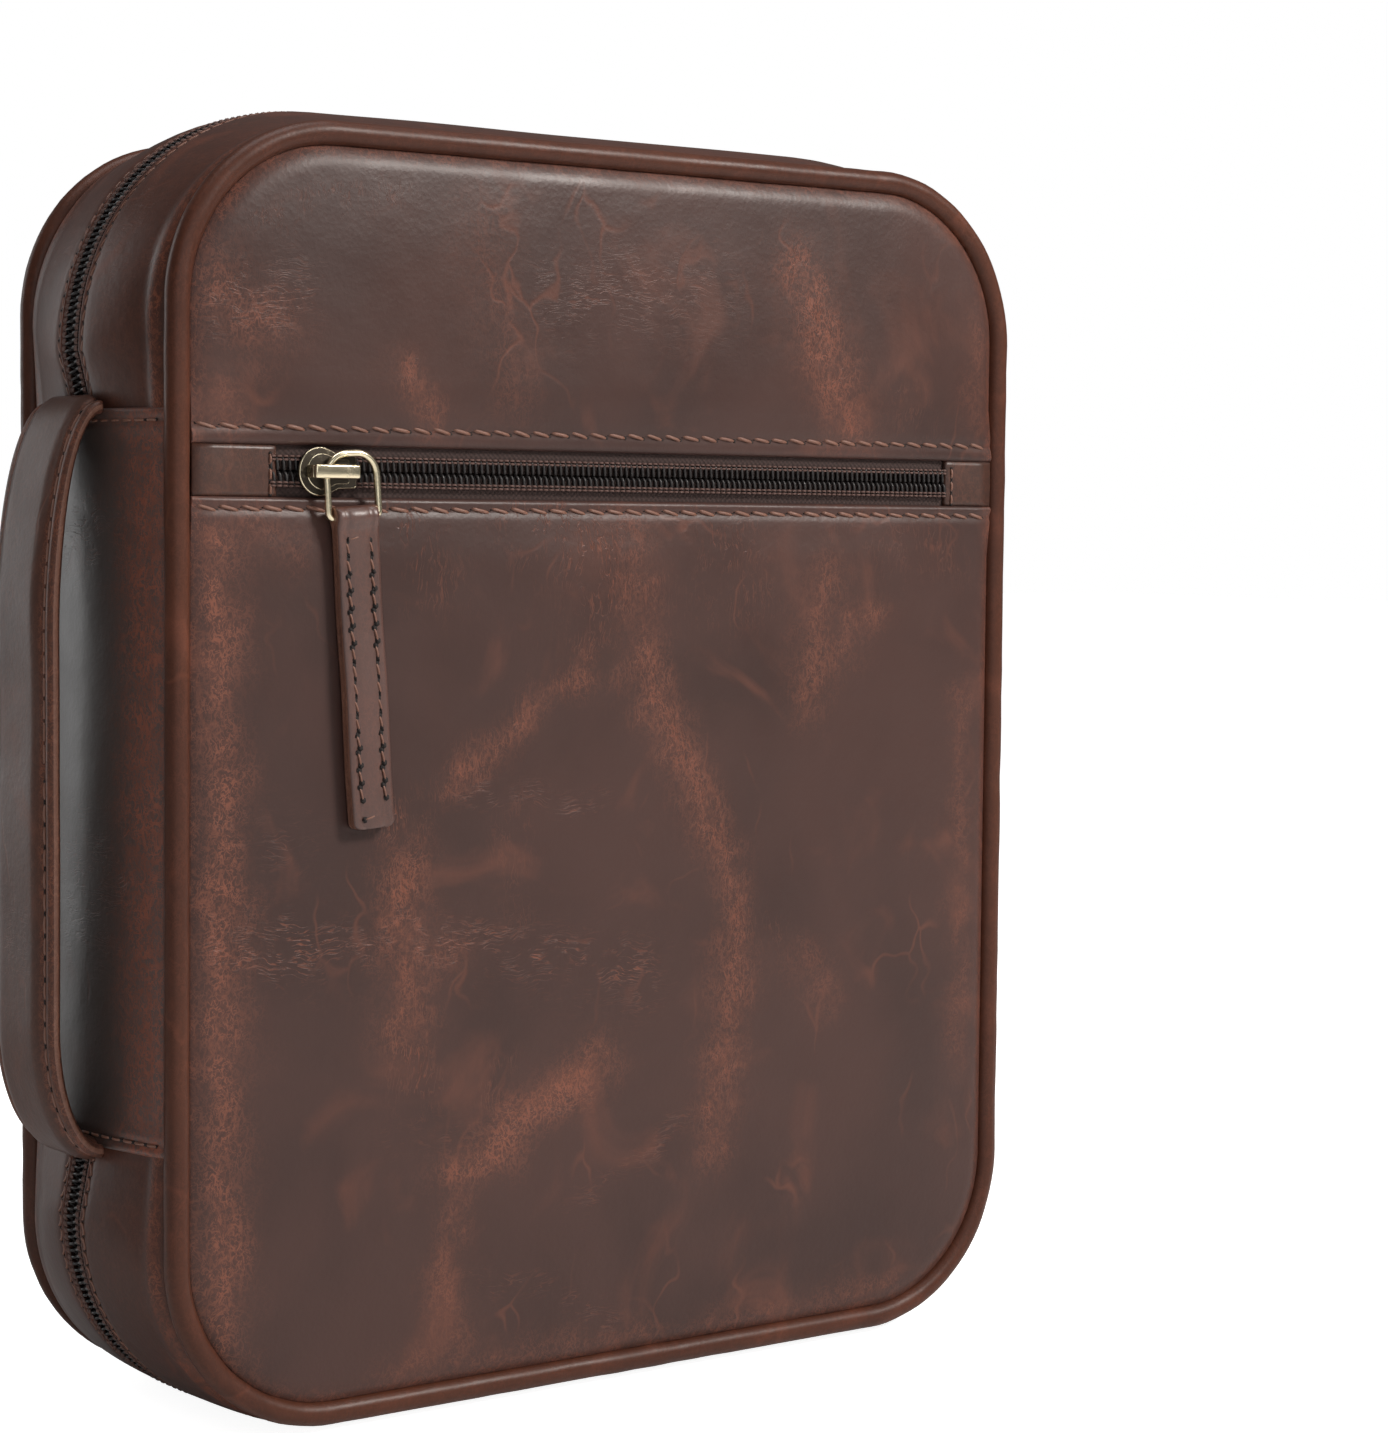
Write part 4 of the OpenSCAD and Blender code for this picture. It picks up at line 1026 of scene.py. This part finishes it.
# ---- Main zip ----
# One long nylon coil zip runs along the middle of the walls, from the spine's top over and round to its
# foot. Each half is a woven tape sewn under its wall's turned edge, with its coil sewn along the tape.
for cover, side in (("front", -1), ("back", 1)):
    profile = [(0.3, -2.0), (1.5, -1.95), (3.0, -1.9), (4.5, -1.85), (8.0, -1.85), (11.5, -1.85)]
    outer, inner = wall_strip(profile, 0.5, side)
    centre = wall_line(1.62 * MM, -0.95 * MM, side)
    out_dir = wall_out(centre)
    for half, rows, way, start, open_row in HALVES:
        tape = sheet_shell(f"{cover}_zip_tape_{half}", outer[rows], inner[rows], zip_tape, open_row)
        path = centre[rows]
        wound = coil(path, (0, side, 0), out_dir[rows], 1.3 * MM, 0.52 * MM, COIL_WIRE_R, side)
        teeth = piece(f"{cover}_zip_coil_{half}", *wound, zip_nylon)
        lift = path + out_dir[rows] * 0.66 * MM
        sewing = piece(f"{cover}_zip_thread_{half}", *zip_sewing(lift, (0, side, 0), out_dir[rows],
                                                                 (0.7 * MM, 1.35 * MM)), zip_thread)
        fit_folding(tape, "zip_tape", side, way, start, f"{cover}_zip_tape")
        fit_folding(teeth, "zip_coil", side, way, start, f"{cover}_zip_coil")
        fit_folding(sewing, "zip_tape", side, way, start)

# ---- Spine panel ----
# A curved strap of leather covers the spine between the two pipings, hemmed at its top and bottom. It is
# red-brown beside the piping and a darker grey-brown elsewhere, with a few creases. The grey of that darker
# colour is painted shade and grey sheen from the handle over the panel, on the leather's own dark brown.
# Greyed base and dark colours: painted shade and sheen from the handle, over a dark brown leather.
spine_leather = leather_material("spine_leather", (0.052, 0.038, 0.034), (0.15, 0.040, 0.020),
                                 (0.040, 0.032, 0.030), specular=0.6, Blotches=0.2)
SPINE_HALF_W = 29.3 * MM


def spine_curve(y):
    """How far the spine's leather stands out from the case's middle at y."""
    return 110.3 * MM + 5.0 * MM * np.cos(math.pi / 2 * y / SPINE_HALF_W)


zs = spread(PANEL_LOW_Z, PANEL_HIGH_Z, 2.2 * MM)
ys = np.concatenate([[-29.5, -29.0, -28.4, -27.6, -26.6, -25.4], np.linspace(-24, 24, 25),
                     [25.4, 26.6, 27.6, 28.4, 29.0, 29.5]]) * MM
y, z = np.meshgrid(ys, zs)
end_gap = np.minimum(z - PANEL_LOW_Z, PANEL_HIGH_Z - z)
side_gap = SPINE_HALF_W - np.abs(y)
push = 0.5 * MM * np.exp(-(end_gap / (5 * MM)) ** 4)
push -= rounding(1.0 * MM, end_gap)
push -= 0.4 * MM * np.exp(-((end_gap - 2.5 * MM) / (0.8 * MM)) ** 2)
push -= 1.6 * MM * (1 - np.clip(side_gap / (3.2 * MM), 0, 1)) ** 2
push += 0.3 * MM * soft_waves(y, z, 0.05, 41) * np.clip(side_gap / 0.008, 0, 1)
crease = np.abs(z - (0.190 + (y + 0.01) * 0.25 + 0.6 * MM * np.sin(y * 300)))
push -= 0.45 * MM * np.exp(-(crease / (1.1 * MM)) ** 2) * np.clip(side_gap / 0.01, 0, 1)
base_x = -spine_curve(y)
outer = np.stack([base_x - push, y, z], 2)
inner = np.stack([base_x + LEATHER_T, y, z], 2)
spine_shell = sheet_shell("spine_panel_leather", outer, inner, spine_leather)
paint(spine_shell, "rub", np.tile((1.8 * np.exp(-((side_gap - 3 * MM) / (8 * MM)) ** 2)
                                   + 0.3 * np.exp(-(end_gap / (5 * MM)) ** 2)).ravel(), 2))
paint(spine_shell, "level", np.tile((0.5 * np.exp(-((z - 0.186) / 0.010) ** 2)
                                     + 0.4 * np.exp(-((z - 0.115) / 0.018) ** 2)).ravel(), 2))
fit(spine_shell, "spine", "case_leather", "spine_panel")
for label, row_z in (("top", PANEL_HIGH_Z - 2.5 * MM), ("foot", PANEL_LOW_Z + 2.5 * MM)):
    ry = np.linspace(-27.5, 27.5, 60) * MM
    line = np.stack([-spine_curve(ry) - 0.1 * MM, ry, np.full(60, row_z)], 1)
    row = sew(f"spine_stitches_{label}", line, (-1, 0, 0), 3.6 * MM, 0.3 * MM)
    fit(row, "spine", "trim_leather")

# ---- Handle ----
# A long padded strap is sewn to the spine at both ends: two layers of leather with a soft core between
# them, flat and sewn along both borders and raised and smooth down the middle.
anchor_low, anchor_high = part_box("handle_anchors")
HANDLE_TOP, HANDLE_FOOT = anchor_high.z - 2.4 * MM, anchor_low.z + 2.4 * MM
FOOT_X, RISE, ARCH_TOP, ARCH_LOW = -115.4 * MM, 10.6 * MM, 46 * MM, 26 * MM
handle_leather = leather_material("handle_leather", (0.066, 0.030, 0.021), (0.20, 0.068, 0.040),
                                  (0.033, 0.019, 0.017), specular=0.24, Blotches=0.35)


def arch_points(off):
    """The handle's arch, raised off its middle line, from its top foot to its lower foot."""
    top = [(FOOT_X - (RISE + off) * math.cos(a), HANDLE_TOP - ARCH_TOP + (ARCH_TOP + off) * math.sin(a))
           for a in np.radians(np.linspace(90, 0, 40))]
    low = [(FOOT_X - (RISE + off) * math.cos(a), HANDLE_FOOT + ARCH_LOW - (ARCH_LOW + off) * math.sin(a))
           for a in np.radians(np.linspace(0, 90, 30))]
    return np.array(top + line_between(top[-1], low[0], 30) + low)


handle_section = []
for yy in (-13, -12.9, -12.6, -12.1, -11.4, -10.7, -10.2, -9.7, -8.9, -8.0, -7.2, -6.4, -5.2, -3.4, -1.7):
    flat = 1.6 - 0.85 * max(0, (abs(yy) - 12.0)) ** 2
    raise_by = 1.0 * min(1, max(0, (9.6 - abs(yy)) / 2.6)) ** 0.7
    dip = 0.35 * math.exp(-((abs(yy) - 10.4) / 0.5) ** 2)
    handle_section.append((yy, flat + raise_by - dip - 0.25 * (abs(yy) > 9.7)))
handle_section += [(0, handle_section[-1][1])] + [(-a, b) for a, b in handle_section[::-1]]
full = handle_section + [(-a, -b * (0.92 if abs(a) < 8 else 1)) for a, b in handle_section]
rows_h = len(arch_points(0))
handle_grid = np.stack([np.insert(arch_points(b * MM), 1, a * MM, axis=1) for a, b in full], 1)
wave = 0.25 * MM * soft_waves(handle_grid[..., 1] * 0.6, handle_grid[..., 2], 0.05, 51)
handle_grid[..., 0] -= wave * (np.abs(handle_grid[..., 1]) < 9 * MM)
handle_grid[..., 1] += 0.15 * MM * soft_waves(0, handle_grid[..., 2], 0.04, 53)
mid_h = int(np.argmin(np.abs(arch_points(0)[:, 1] - 0.136)))
seam_index = len(handle_section)
for half, rows, nodes, start_z, end_z in (
        ("upper", slice(0, mid_h + 1), ("handle_anchors", "handle_outer_strap"), 0.208, 0.165),
        ("lower", slice(mid_h, rows_h), ("handle_padding", "handle_inner_strap"), 0.062, 0.108)):
    start, end = (-0.12, 0, start_z), (-0.12, 0, end_z)
    part = handle_grid[rows]
    n, m = part.shape[:2]
    faces = []
    for r in range(n - 1):
        for k in range(m):
            b = (k + 1) % m
            faces.append(((r * m + k, r * m + b, (r + 1) * m + b, (r + 1) * m + k),
                          int(k in (seam_index - 1, m - 1))))
    foot_row = 0 if half == "upper" else n - 1
    faces.append((tuple(foot_row * m + k for k in range(m)), 1))
    strap = piece(f"handle_{half}", part.reshape(-1, 3), faces, [handle_leather, cut_edge])
    border = np.array([0.55 if 9.6 < abs(a) else 0.12 for a, b in full])
    paint(strap, "rub", np.tile(border, n))
    paint(strap, "level", np.tile(np.where(np.abs([a for a, b in full]) < 8, 0.25, 0), n)
          * np.repeat(np.clip(soft_waves(0, part[:, 0, 2], 0.05, 9), 0, 1), m))
    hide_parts(*nodes)
    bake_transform(strap)
    for sy in (-1, 1):
        off = 1.2 * MM
        xz = arch_points(off)[rows]
        line = np.stack([xz[:, 0], np.full(n, sy * 10.4 * MM), xz[:, 1]], 1)
        row = sew(f"handle_stitches_{half}_{'front' if sy < 0 else 'back'}", line, -wall_out(line), 4.5 * MM,
                  0.32 * MM, 0.3 * MM)
        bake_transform(row)

# ---- Main zip's sliders and pulls ----
# Two cast sliders of the same antique brass meet head to head on the fore edge. Each has a wire ring under
# its bridge, and a short pull of folded leather hangs from the ring. The upper ring leans outward, because
# its pull rests on the lower slider.
crest_x = SEAM_HALF_W + SWELL
LIFT = math.radians(24)
ZIP_PULL_LENGTH = 46 * MM
for name, slider_z, flip, lift, bodies in (
        ("upper", 143.05 * MM, True, LIFT, ("upper_slider", "upper_ring", "upper_strap")),
        ("lower", 128.95 * MM, False, 0.0, ("lower_slider", "lower_pull", "lower_pull"))):
    at = Matrix.Translation((crest_x, 0, slider_z)) @ Matrix.Rotation(math.pi / 2, 4, "Y") \
        @ Matrix.Rotation(math.pi if flip else 0, 4, "Z")
    hang = Matrix.Rotation(math.pi / 2, 4, "Z") @ Matrix.Rotation(math.pi / 2, 4, "X")
    wire_x = crest_x + 2.8 * MM
    ring_place = Matrix.Translation((wire_x, 0, slider_z)) @ Matrix.Rotation(-lift, 4, "Y") @ hang
    wire_end = (wire_x + RING_H * math.sin(lift), 0, slider_z - RING_H * math.cos(lift))
    strap_place = Matrix.Translation(wire_end) @ hang
    slider(f"{name}_slider", at, bodies[0], (f"{name}_slider", f"{name}_slider_bridge"))
    ring(f"{name}_ring_wire", ring_place, 2 * MM, bodies[1], f"{name}_pull_ring")
    pull(f"{name}_pull_leather", strap_place, ZIP_PULL_LENGTH, bodies[2], f"{name}_pull_strap")

# ---- Back cover panel ----
# The back cover is one plain panel of the same leather, sewn into the piping seam all round. It is puffed
# a little by the stiffening behind it and creased and rubbed by use.
back_marks = {
    "level": [([(-80, 180), (-20, 172), (30, 176)], 8, 0.7), ([(-40, 70), (30, 62), (80, 70)], 9, 0.6)],
    "upright": [([(40, 230), (52, 180), (46, 120)], 6, 0.8), ([(-60, 140), (-52, 90), (-62, 40)], 6, 0.7)],
    "rub": [([(40, 230), (52, 180), (46, 120)], 8, 0.6), ([(-60, 140), (-52, 90)], 8, 0.5),
            ([(-101, 220), (-101, 40)], 6, 0.6), ([(100, 220), (100, 60)], 5, 0.4)]}
back_leather, _ = cover_panel(
    "back_panel_leather", SEAM_LOW + PANEL_INSET, SEAM_TOP - PANEL_INSET, "", 0, 0.0, 1, back_marks, 8)
fit(back_leather, "back_cover", "case_leather", "back_panel")

# ---- Linings, boards and sleeves ----
# Each cover is stiffened by a grey board and lined with a brown woven cloth. A flat sleeve of the same
# cloth, sewn round three sides, holds a board of the Bible.
lining_cloth = cloth_material("lining_cloth", (0.040, 0.024, 0.018), (0.085, 0.052, 0.040), 3600, 0.0002)
grey_board = material("grey_board", (0.16, 0.135, 0.11), 0.9)
fibre, tree, shader = own_noise(grey_board, 700.0, 5.0)
tree.links.new(mix_colour(tree, fibre, (0.12, 0.1, 0.08, 1), (0.2, 0.17, 0.14, 1)),
               shader.inputs["Base Color"])


def lining_panel(name, inset, y_face, y_back, puff, mat, x_from, hem):
    """A flat piece inside a cover. Its face is at y_face; hem draws its three sewn edges back to y_back."""
    zs = spread(SEAM_LOW + inset, SEAM_TOP - inset, 6 * MM)
    us = spread(-0.1, 0.1, 6 * MM) / 0.1
    rows = []
    for z in zs:
        w = outline_half_width(z, inset)
        low = max(-w, x_from)
        rows.append(low + (w - low) * (us + 1) / 2)
    x = np.array(rows)
    z = np.repeat(zs[:, None], len(us), 1)
    way = math.copysign(1, y_face - y_back)
    d = np.maximum(edge_distance(x, z, inset), 0)
    lift = puff * np.clip(d / 0.02, 0, 1) * (0.6 + 0.4 * soft_waves(x, z, 0.07, 61))
    if hem:
        lift -= (abs(y_face - y_back) - 0.3 * MM) * (1 - np.clip(d / hem, 0, 1)) ** 2
    face = np.stack([x, y_face + way * lift, z], 2)
    thick = np.maximum(np.minimum(abs(y_face - y_back), 0.8 * MM) if hem else abs(y_face - y_back), 0.3 * MM)
    rear = face - np.array([0, way, 0]) * thick if hem else np.stack([x, np.full(x.shape, y_back), z], 2)
    return sheet_shell(name, face, rear, mat)


SLEEVE_FROM_X, SLEEVE_HEM = 0.0113, 0.005
for name, node, inset, y_face, y_back, puff, body in (
        ("front_lining_cloth", "front_lining", 4.7, -26.0, -26.8, -0.1, "front_cover"),
        ("back_lining_cloth", "back_lining", 4.7, 29.4, 30.2, -0.1, "back_cover"),
        ("front_board_card", "front_board", 4.7, -26.8, -28.8, 0, "front_cover"),
        ("back_board_card", "back_board", 4.7, 30.2, 32.2, 0, "back_cover"),
        ("pocket_backing_cloth", "pocket_backing", 4.7, -28.8, -29.6, 0, "front_cover"),
        ("front_sleeve_cloth", "front_sleeve", 5.7, -22.2, -26.0, 0.0, "front_cover"),
        ("back_sleeve_cloth", "back_sleeve", 5.7, 25.6, 29.4, 0.0, "back_cover")):
    cut = (SLEEVE_FROM_X, SLEEVE_HEM) if "sleeve" in name else (-1.0, 0)
    mat, slot = (grey_board, "stiff_board") if "card" in name else (lining_cloth, "lining_cloth")
    one = lining_panel(name, inset * MM, y_face * MM, y_back * MM, puff * MM, mat, *cut)
    fit(one, body, slot, node)

for cover, side in (("front", -1), ("back", 1)):
    profile = [(28.3, -1.9), (24, -1.9), (19, -1.9), (15, -1.9), (12, -1.9)]
    outer, inner = wall_strip(profile, 0.7, side)
    for half, rows, way, start, open_row in HALVES:
        one = sheet_shell(f"{cover}_wall_lining_{half}", outer[rows], inner[rows], lining_cloth)
        fit_folding(one, "lining_cloth", side, way, start, f"{cover}_gusset_lining")

ly, lz = np.meshgrid(np.linspace(-29.2, 29.2, 25) * MM,
                     np.linspace(PANEL_LOW_Z + 0.5 * MM, PANEL_HIGH_Z - 0.5 * MM, 60))
curve = spine_curve(ly)
waves = 0.25 * MM * soft_waves(ly, lz, 0.05, 71)
spine_lining = sheet_shell(
    "spine_lining_cloth", np.stack([-(curve - 1.85 * MM), ly, lz], 2),
    np.stack([-(curve - 2.6 * MM) + np.maximum(waves, 0) * 0.3, ly, lz], 2), lining_cloth)
fit(spine_lining, "spine", "lining_cloth", "spine_lining")

# ---- The Bible ----
# A bound Bible with black grained covers, its spine glued to the back of the pages. Its boards stand out
# past the pages; a striped band closes each end of the spine and a red ribbon marks the place.
book_black = leather_material(
    "book_black", (0.014, 0.012, 0.012), (0.035, 0.03, 0.028), (0.008, 0.007, 0.007), 0.00025,
    Level_creases=0.1, Upright_creases=0.1, Rub=0.1, Blotches=0.2)
paper_edges, into, out = node_group(
    "page_edges",
    [("Vector", "Vector", (0, 0, 0)), ("Edge", "Float", 1.0), ("Paper", "Color", (0.72, 0.66, 0.54, 1)),
     ("Shadow", "Color", (0.42, 0.36, 0.27, 1))],
    [("Color", "Color"), ("Height", "Float")])
# The page edges are darkened in fine, patchy streaks toward the Shadow colour: painted shade in the gaps
# between the leaves.
stretched = put(paper_edges, "VectorMath", "MULTIPLY", i0=into.outputs["Vector"], i1=(18, 3200, 18))
strands = noise(paper_edges, stretched.outputs[0], 1.0, 2)
edge_shadow_patches = noise(paper_edges, into.outputs["Vector"], 60, 4)
tone = ramp(paper_edges, plus(paper_edges, strands, times(paper_edges, edge_shadow_patches, 0.15)), 0.75, 0.4)
shade = times(paper_edges, tone, times(paper_edges, into.outputs["Edge"], 0.6))
paper_edges.links.new(mix_colour(paper_edges, shade, into.outputs["Paper"], into.outputs["Shadow"]),
                      out.inputs["Color"])
paper_edges.links.new(strands, out.inputs["Height"])
paper = material("paper", roughness=0.85)
tree = paper.node_tree
facing = put(tree, "SeparateXYZ", i0=put(tree, "NewGeometry").outputs["Normal"])
edge_on = math_node(tree, "SUBTRACT", 1.0, math_node(tree, "ABSOLUTE", facing.outputs[1]))
tree.links.new(edge_on, dress(paper, paper_edges, 0.0002).inputs["Edge"])


def page_outline(x0, x1, z0, z1, r):
    """A sheet's outline, square at the spine and rounded at the fore edge."""
    return np.array([(x0, z0), (x0, z1)] + line_between((x0, z1), (x1 - r, z1), 8)
                    + arc(x1 - r, z1 - r, r, 90, 0, 8) + line_between((x1, z1 - r), (x1, z0 + r), 12)
                    + arc(x1 - r, z0 + r, r, 0, -90, 8) + line_between((x1 - r, z0), (x0, z0), 8))


def page_stack(name, node, body, leaves):
    low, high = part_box(node)
    rng = np.random.RandomState(leaves)
    shape = page_outline(low.x, high.x, low.z, high.z, 9 * MM)
    centre = np.array([(low.x + high.x) / 2, (low.z + high.z) / 2])
    verts = []
    for k, y in enumerate(np.linspace(low.y, high.y, leaves)):
        inset = rng.uniform(0, 0.14) * MM + 0.12 * MM * (k % 2)
        size = (high.x - low.x) / 2, (high.z - low.z) / 2
        ring_points = centre + (shape - centre) * (1 - inset / np.array(size))
        verts += [(x, y, z) for x, z in ring_points]
    n = len(shape)
    faces = [(k * n + i, k * n + (i + 1) % n, (k + 1) * n + (i + 1) % n, (k + 1) * n + i)
             for k in range(leaves - 1) for i in range(n)]
    faces += [tuple(range(n)), tuple((leaves - 1) * n + i for i in range(n))]
    stack = piece(name, verts, faces, paper, smooth=False)
    fit(stack, body, "pages", node)


page_stack("bible_pages", "bible_text_block", "back_cover", 110)
page_stack("bible_leaves", "bible_turning_leaves", "leaves", 9)


def book_board(name, node, body):
    low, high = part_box(node)
    r = 13 * MM
    shape = page_outline(low.x, high.x, low.z, high.z, r)
    board = piece(name, *placed(Matrix.Rotation(math.radians(90), 4, "X"),
                                plate(shape[::-1], -high.y, -low.y, 0.7 * MM)), book_black)
    fit(board, body, "book_cover", node)


book_board("bible_board_back", "bible_back_cover", "back_cover")
book_board("bible_board_front", "bible_front_cover", "front_cover")
low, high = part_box("bible_spine")
bands = np.linspace(low.z, high.z, 90)
ys = np.linspace(low.y, high.y, 22)
y, z = np.meshgrid(ys, bands)
share = (y - low.y) / (high.y - low.y)
raised = sum(0.9 * MM * np.exp(-((z - (low.z + (high.z - low.z) * s)) / (1.6 * MM)) ** 2)
             for s in (0.14, 0.32, 0.5, 0.68, 0.86))
bow = 1.2 * MM * np.sin(math.pi * share)
back_of_book = sheet_shell(
    "bible_spine_cover", np.stack([low.x - bow - raised * np.sin(math.pi * share) ** 0.3, y, z], 2),
    np.stack([np.full(y.shape, high.x), y, z], 2), book_black)
fit(back_of_book, "back_cover", "book_cover", "bible_spine")

band_red = material("band_red", (0.33, 0.03, 0.03), 0.7)
band_gold = material("band_gold", (0.55, 0.40, 0.16), 0.6)
low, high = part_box("bible_headbands")
for label, z in (("foot", low.z + 1.15 * MM), ("head", high.z - 1.15 * MM)):
    ys = np.linspace(low.y, high.y, 120)
    radii = 1.05 * MM + 0.09 * MM * np.sin(np.arange(120) * math.pi / 2)
    verts, faces = tube([(low.x + 1.15 * MM, a, z) for a in ys], radii, 10)
    striped = [(f, int((k // 10 // 4) % 2)) for k, f in enumerate(faces)]
    band = piece(f"bible_headband_{label}", verts, striped, [band_red, band_gold])
    fit(band, "back_cover", "headband_cloth", "bible_headbands")

ribbon_satin = cloth_material("ribbon_satin", (0.22, 0.012, 0.018), (0.38, 0.03, 0.035), 7000, 0.00005, 0.35,
                              Anisotropic=0.6)
low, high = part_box("bible_ribbon")
steps = np.linspace(0, 1, 24)
wave = 0.9 * MM * np.sin(steps * 5) * steps
middle_y = (low.y + high.y) / 2
x, s = np.meshgrid(np.linspace(low.x, high.x, 8), steps)
z = high.z - (high.z - low.z) * s
y = middle_y + np.interp(s, steps, wave)
ribbon_faces = [np.stack([x, y + half_t, z], 2) for half_t in (-0.12 * MM, 0.12 * MM)]
ribbon = sheet_shell("bible_ribbon_end", *ribbon_faces, ribbon_satin)
fit(ribbon, "back_cover", "ribbon_cloth", "bible_ribbon")
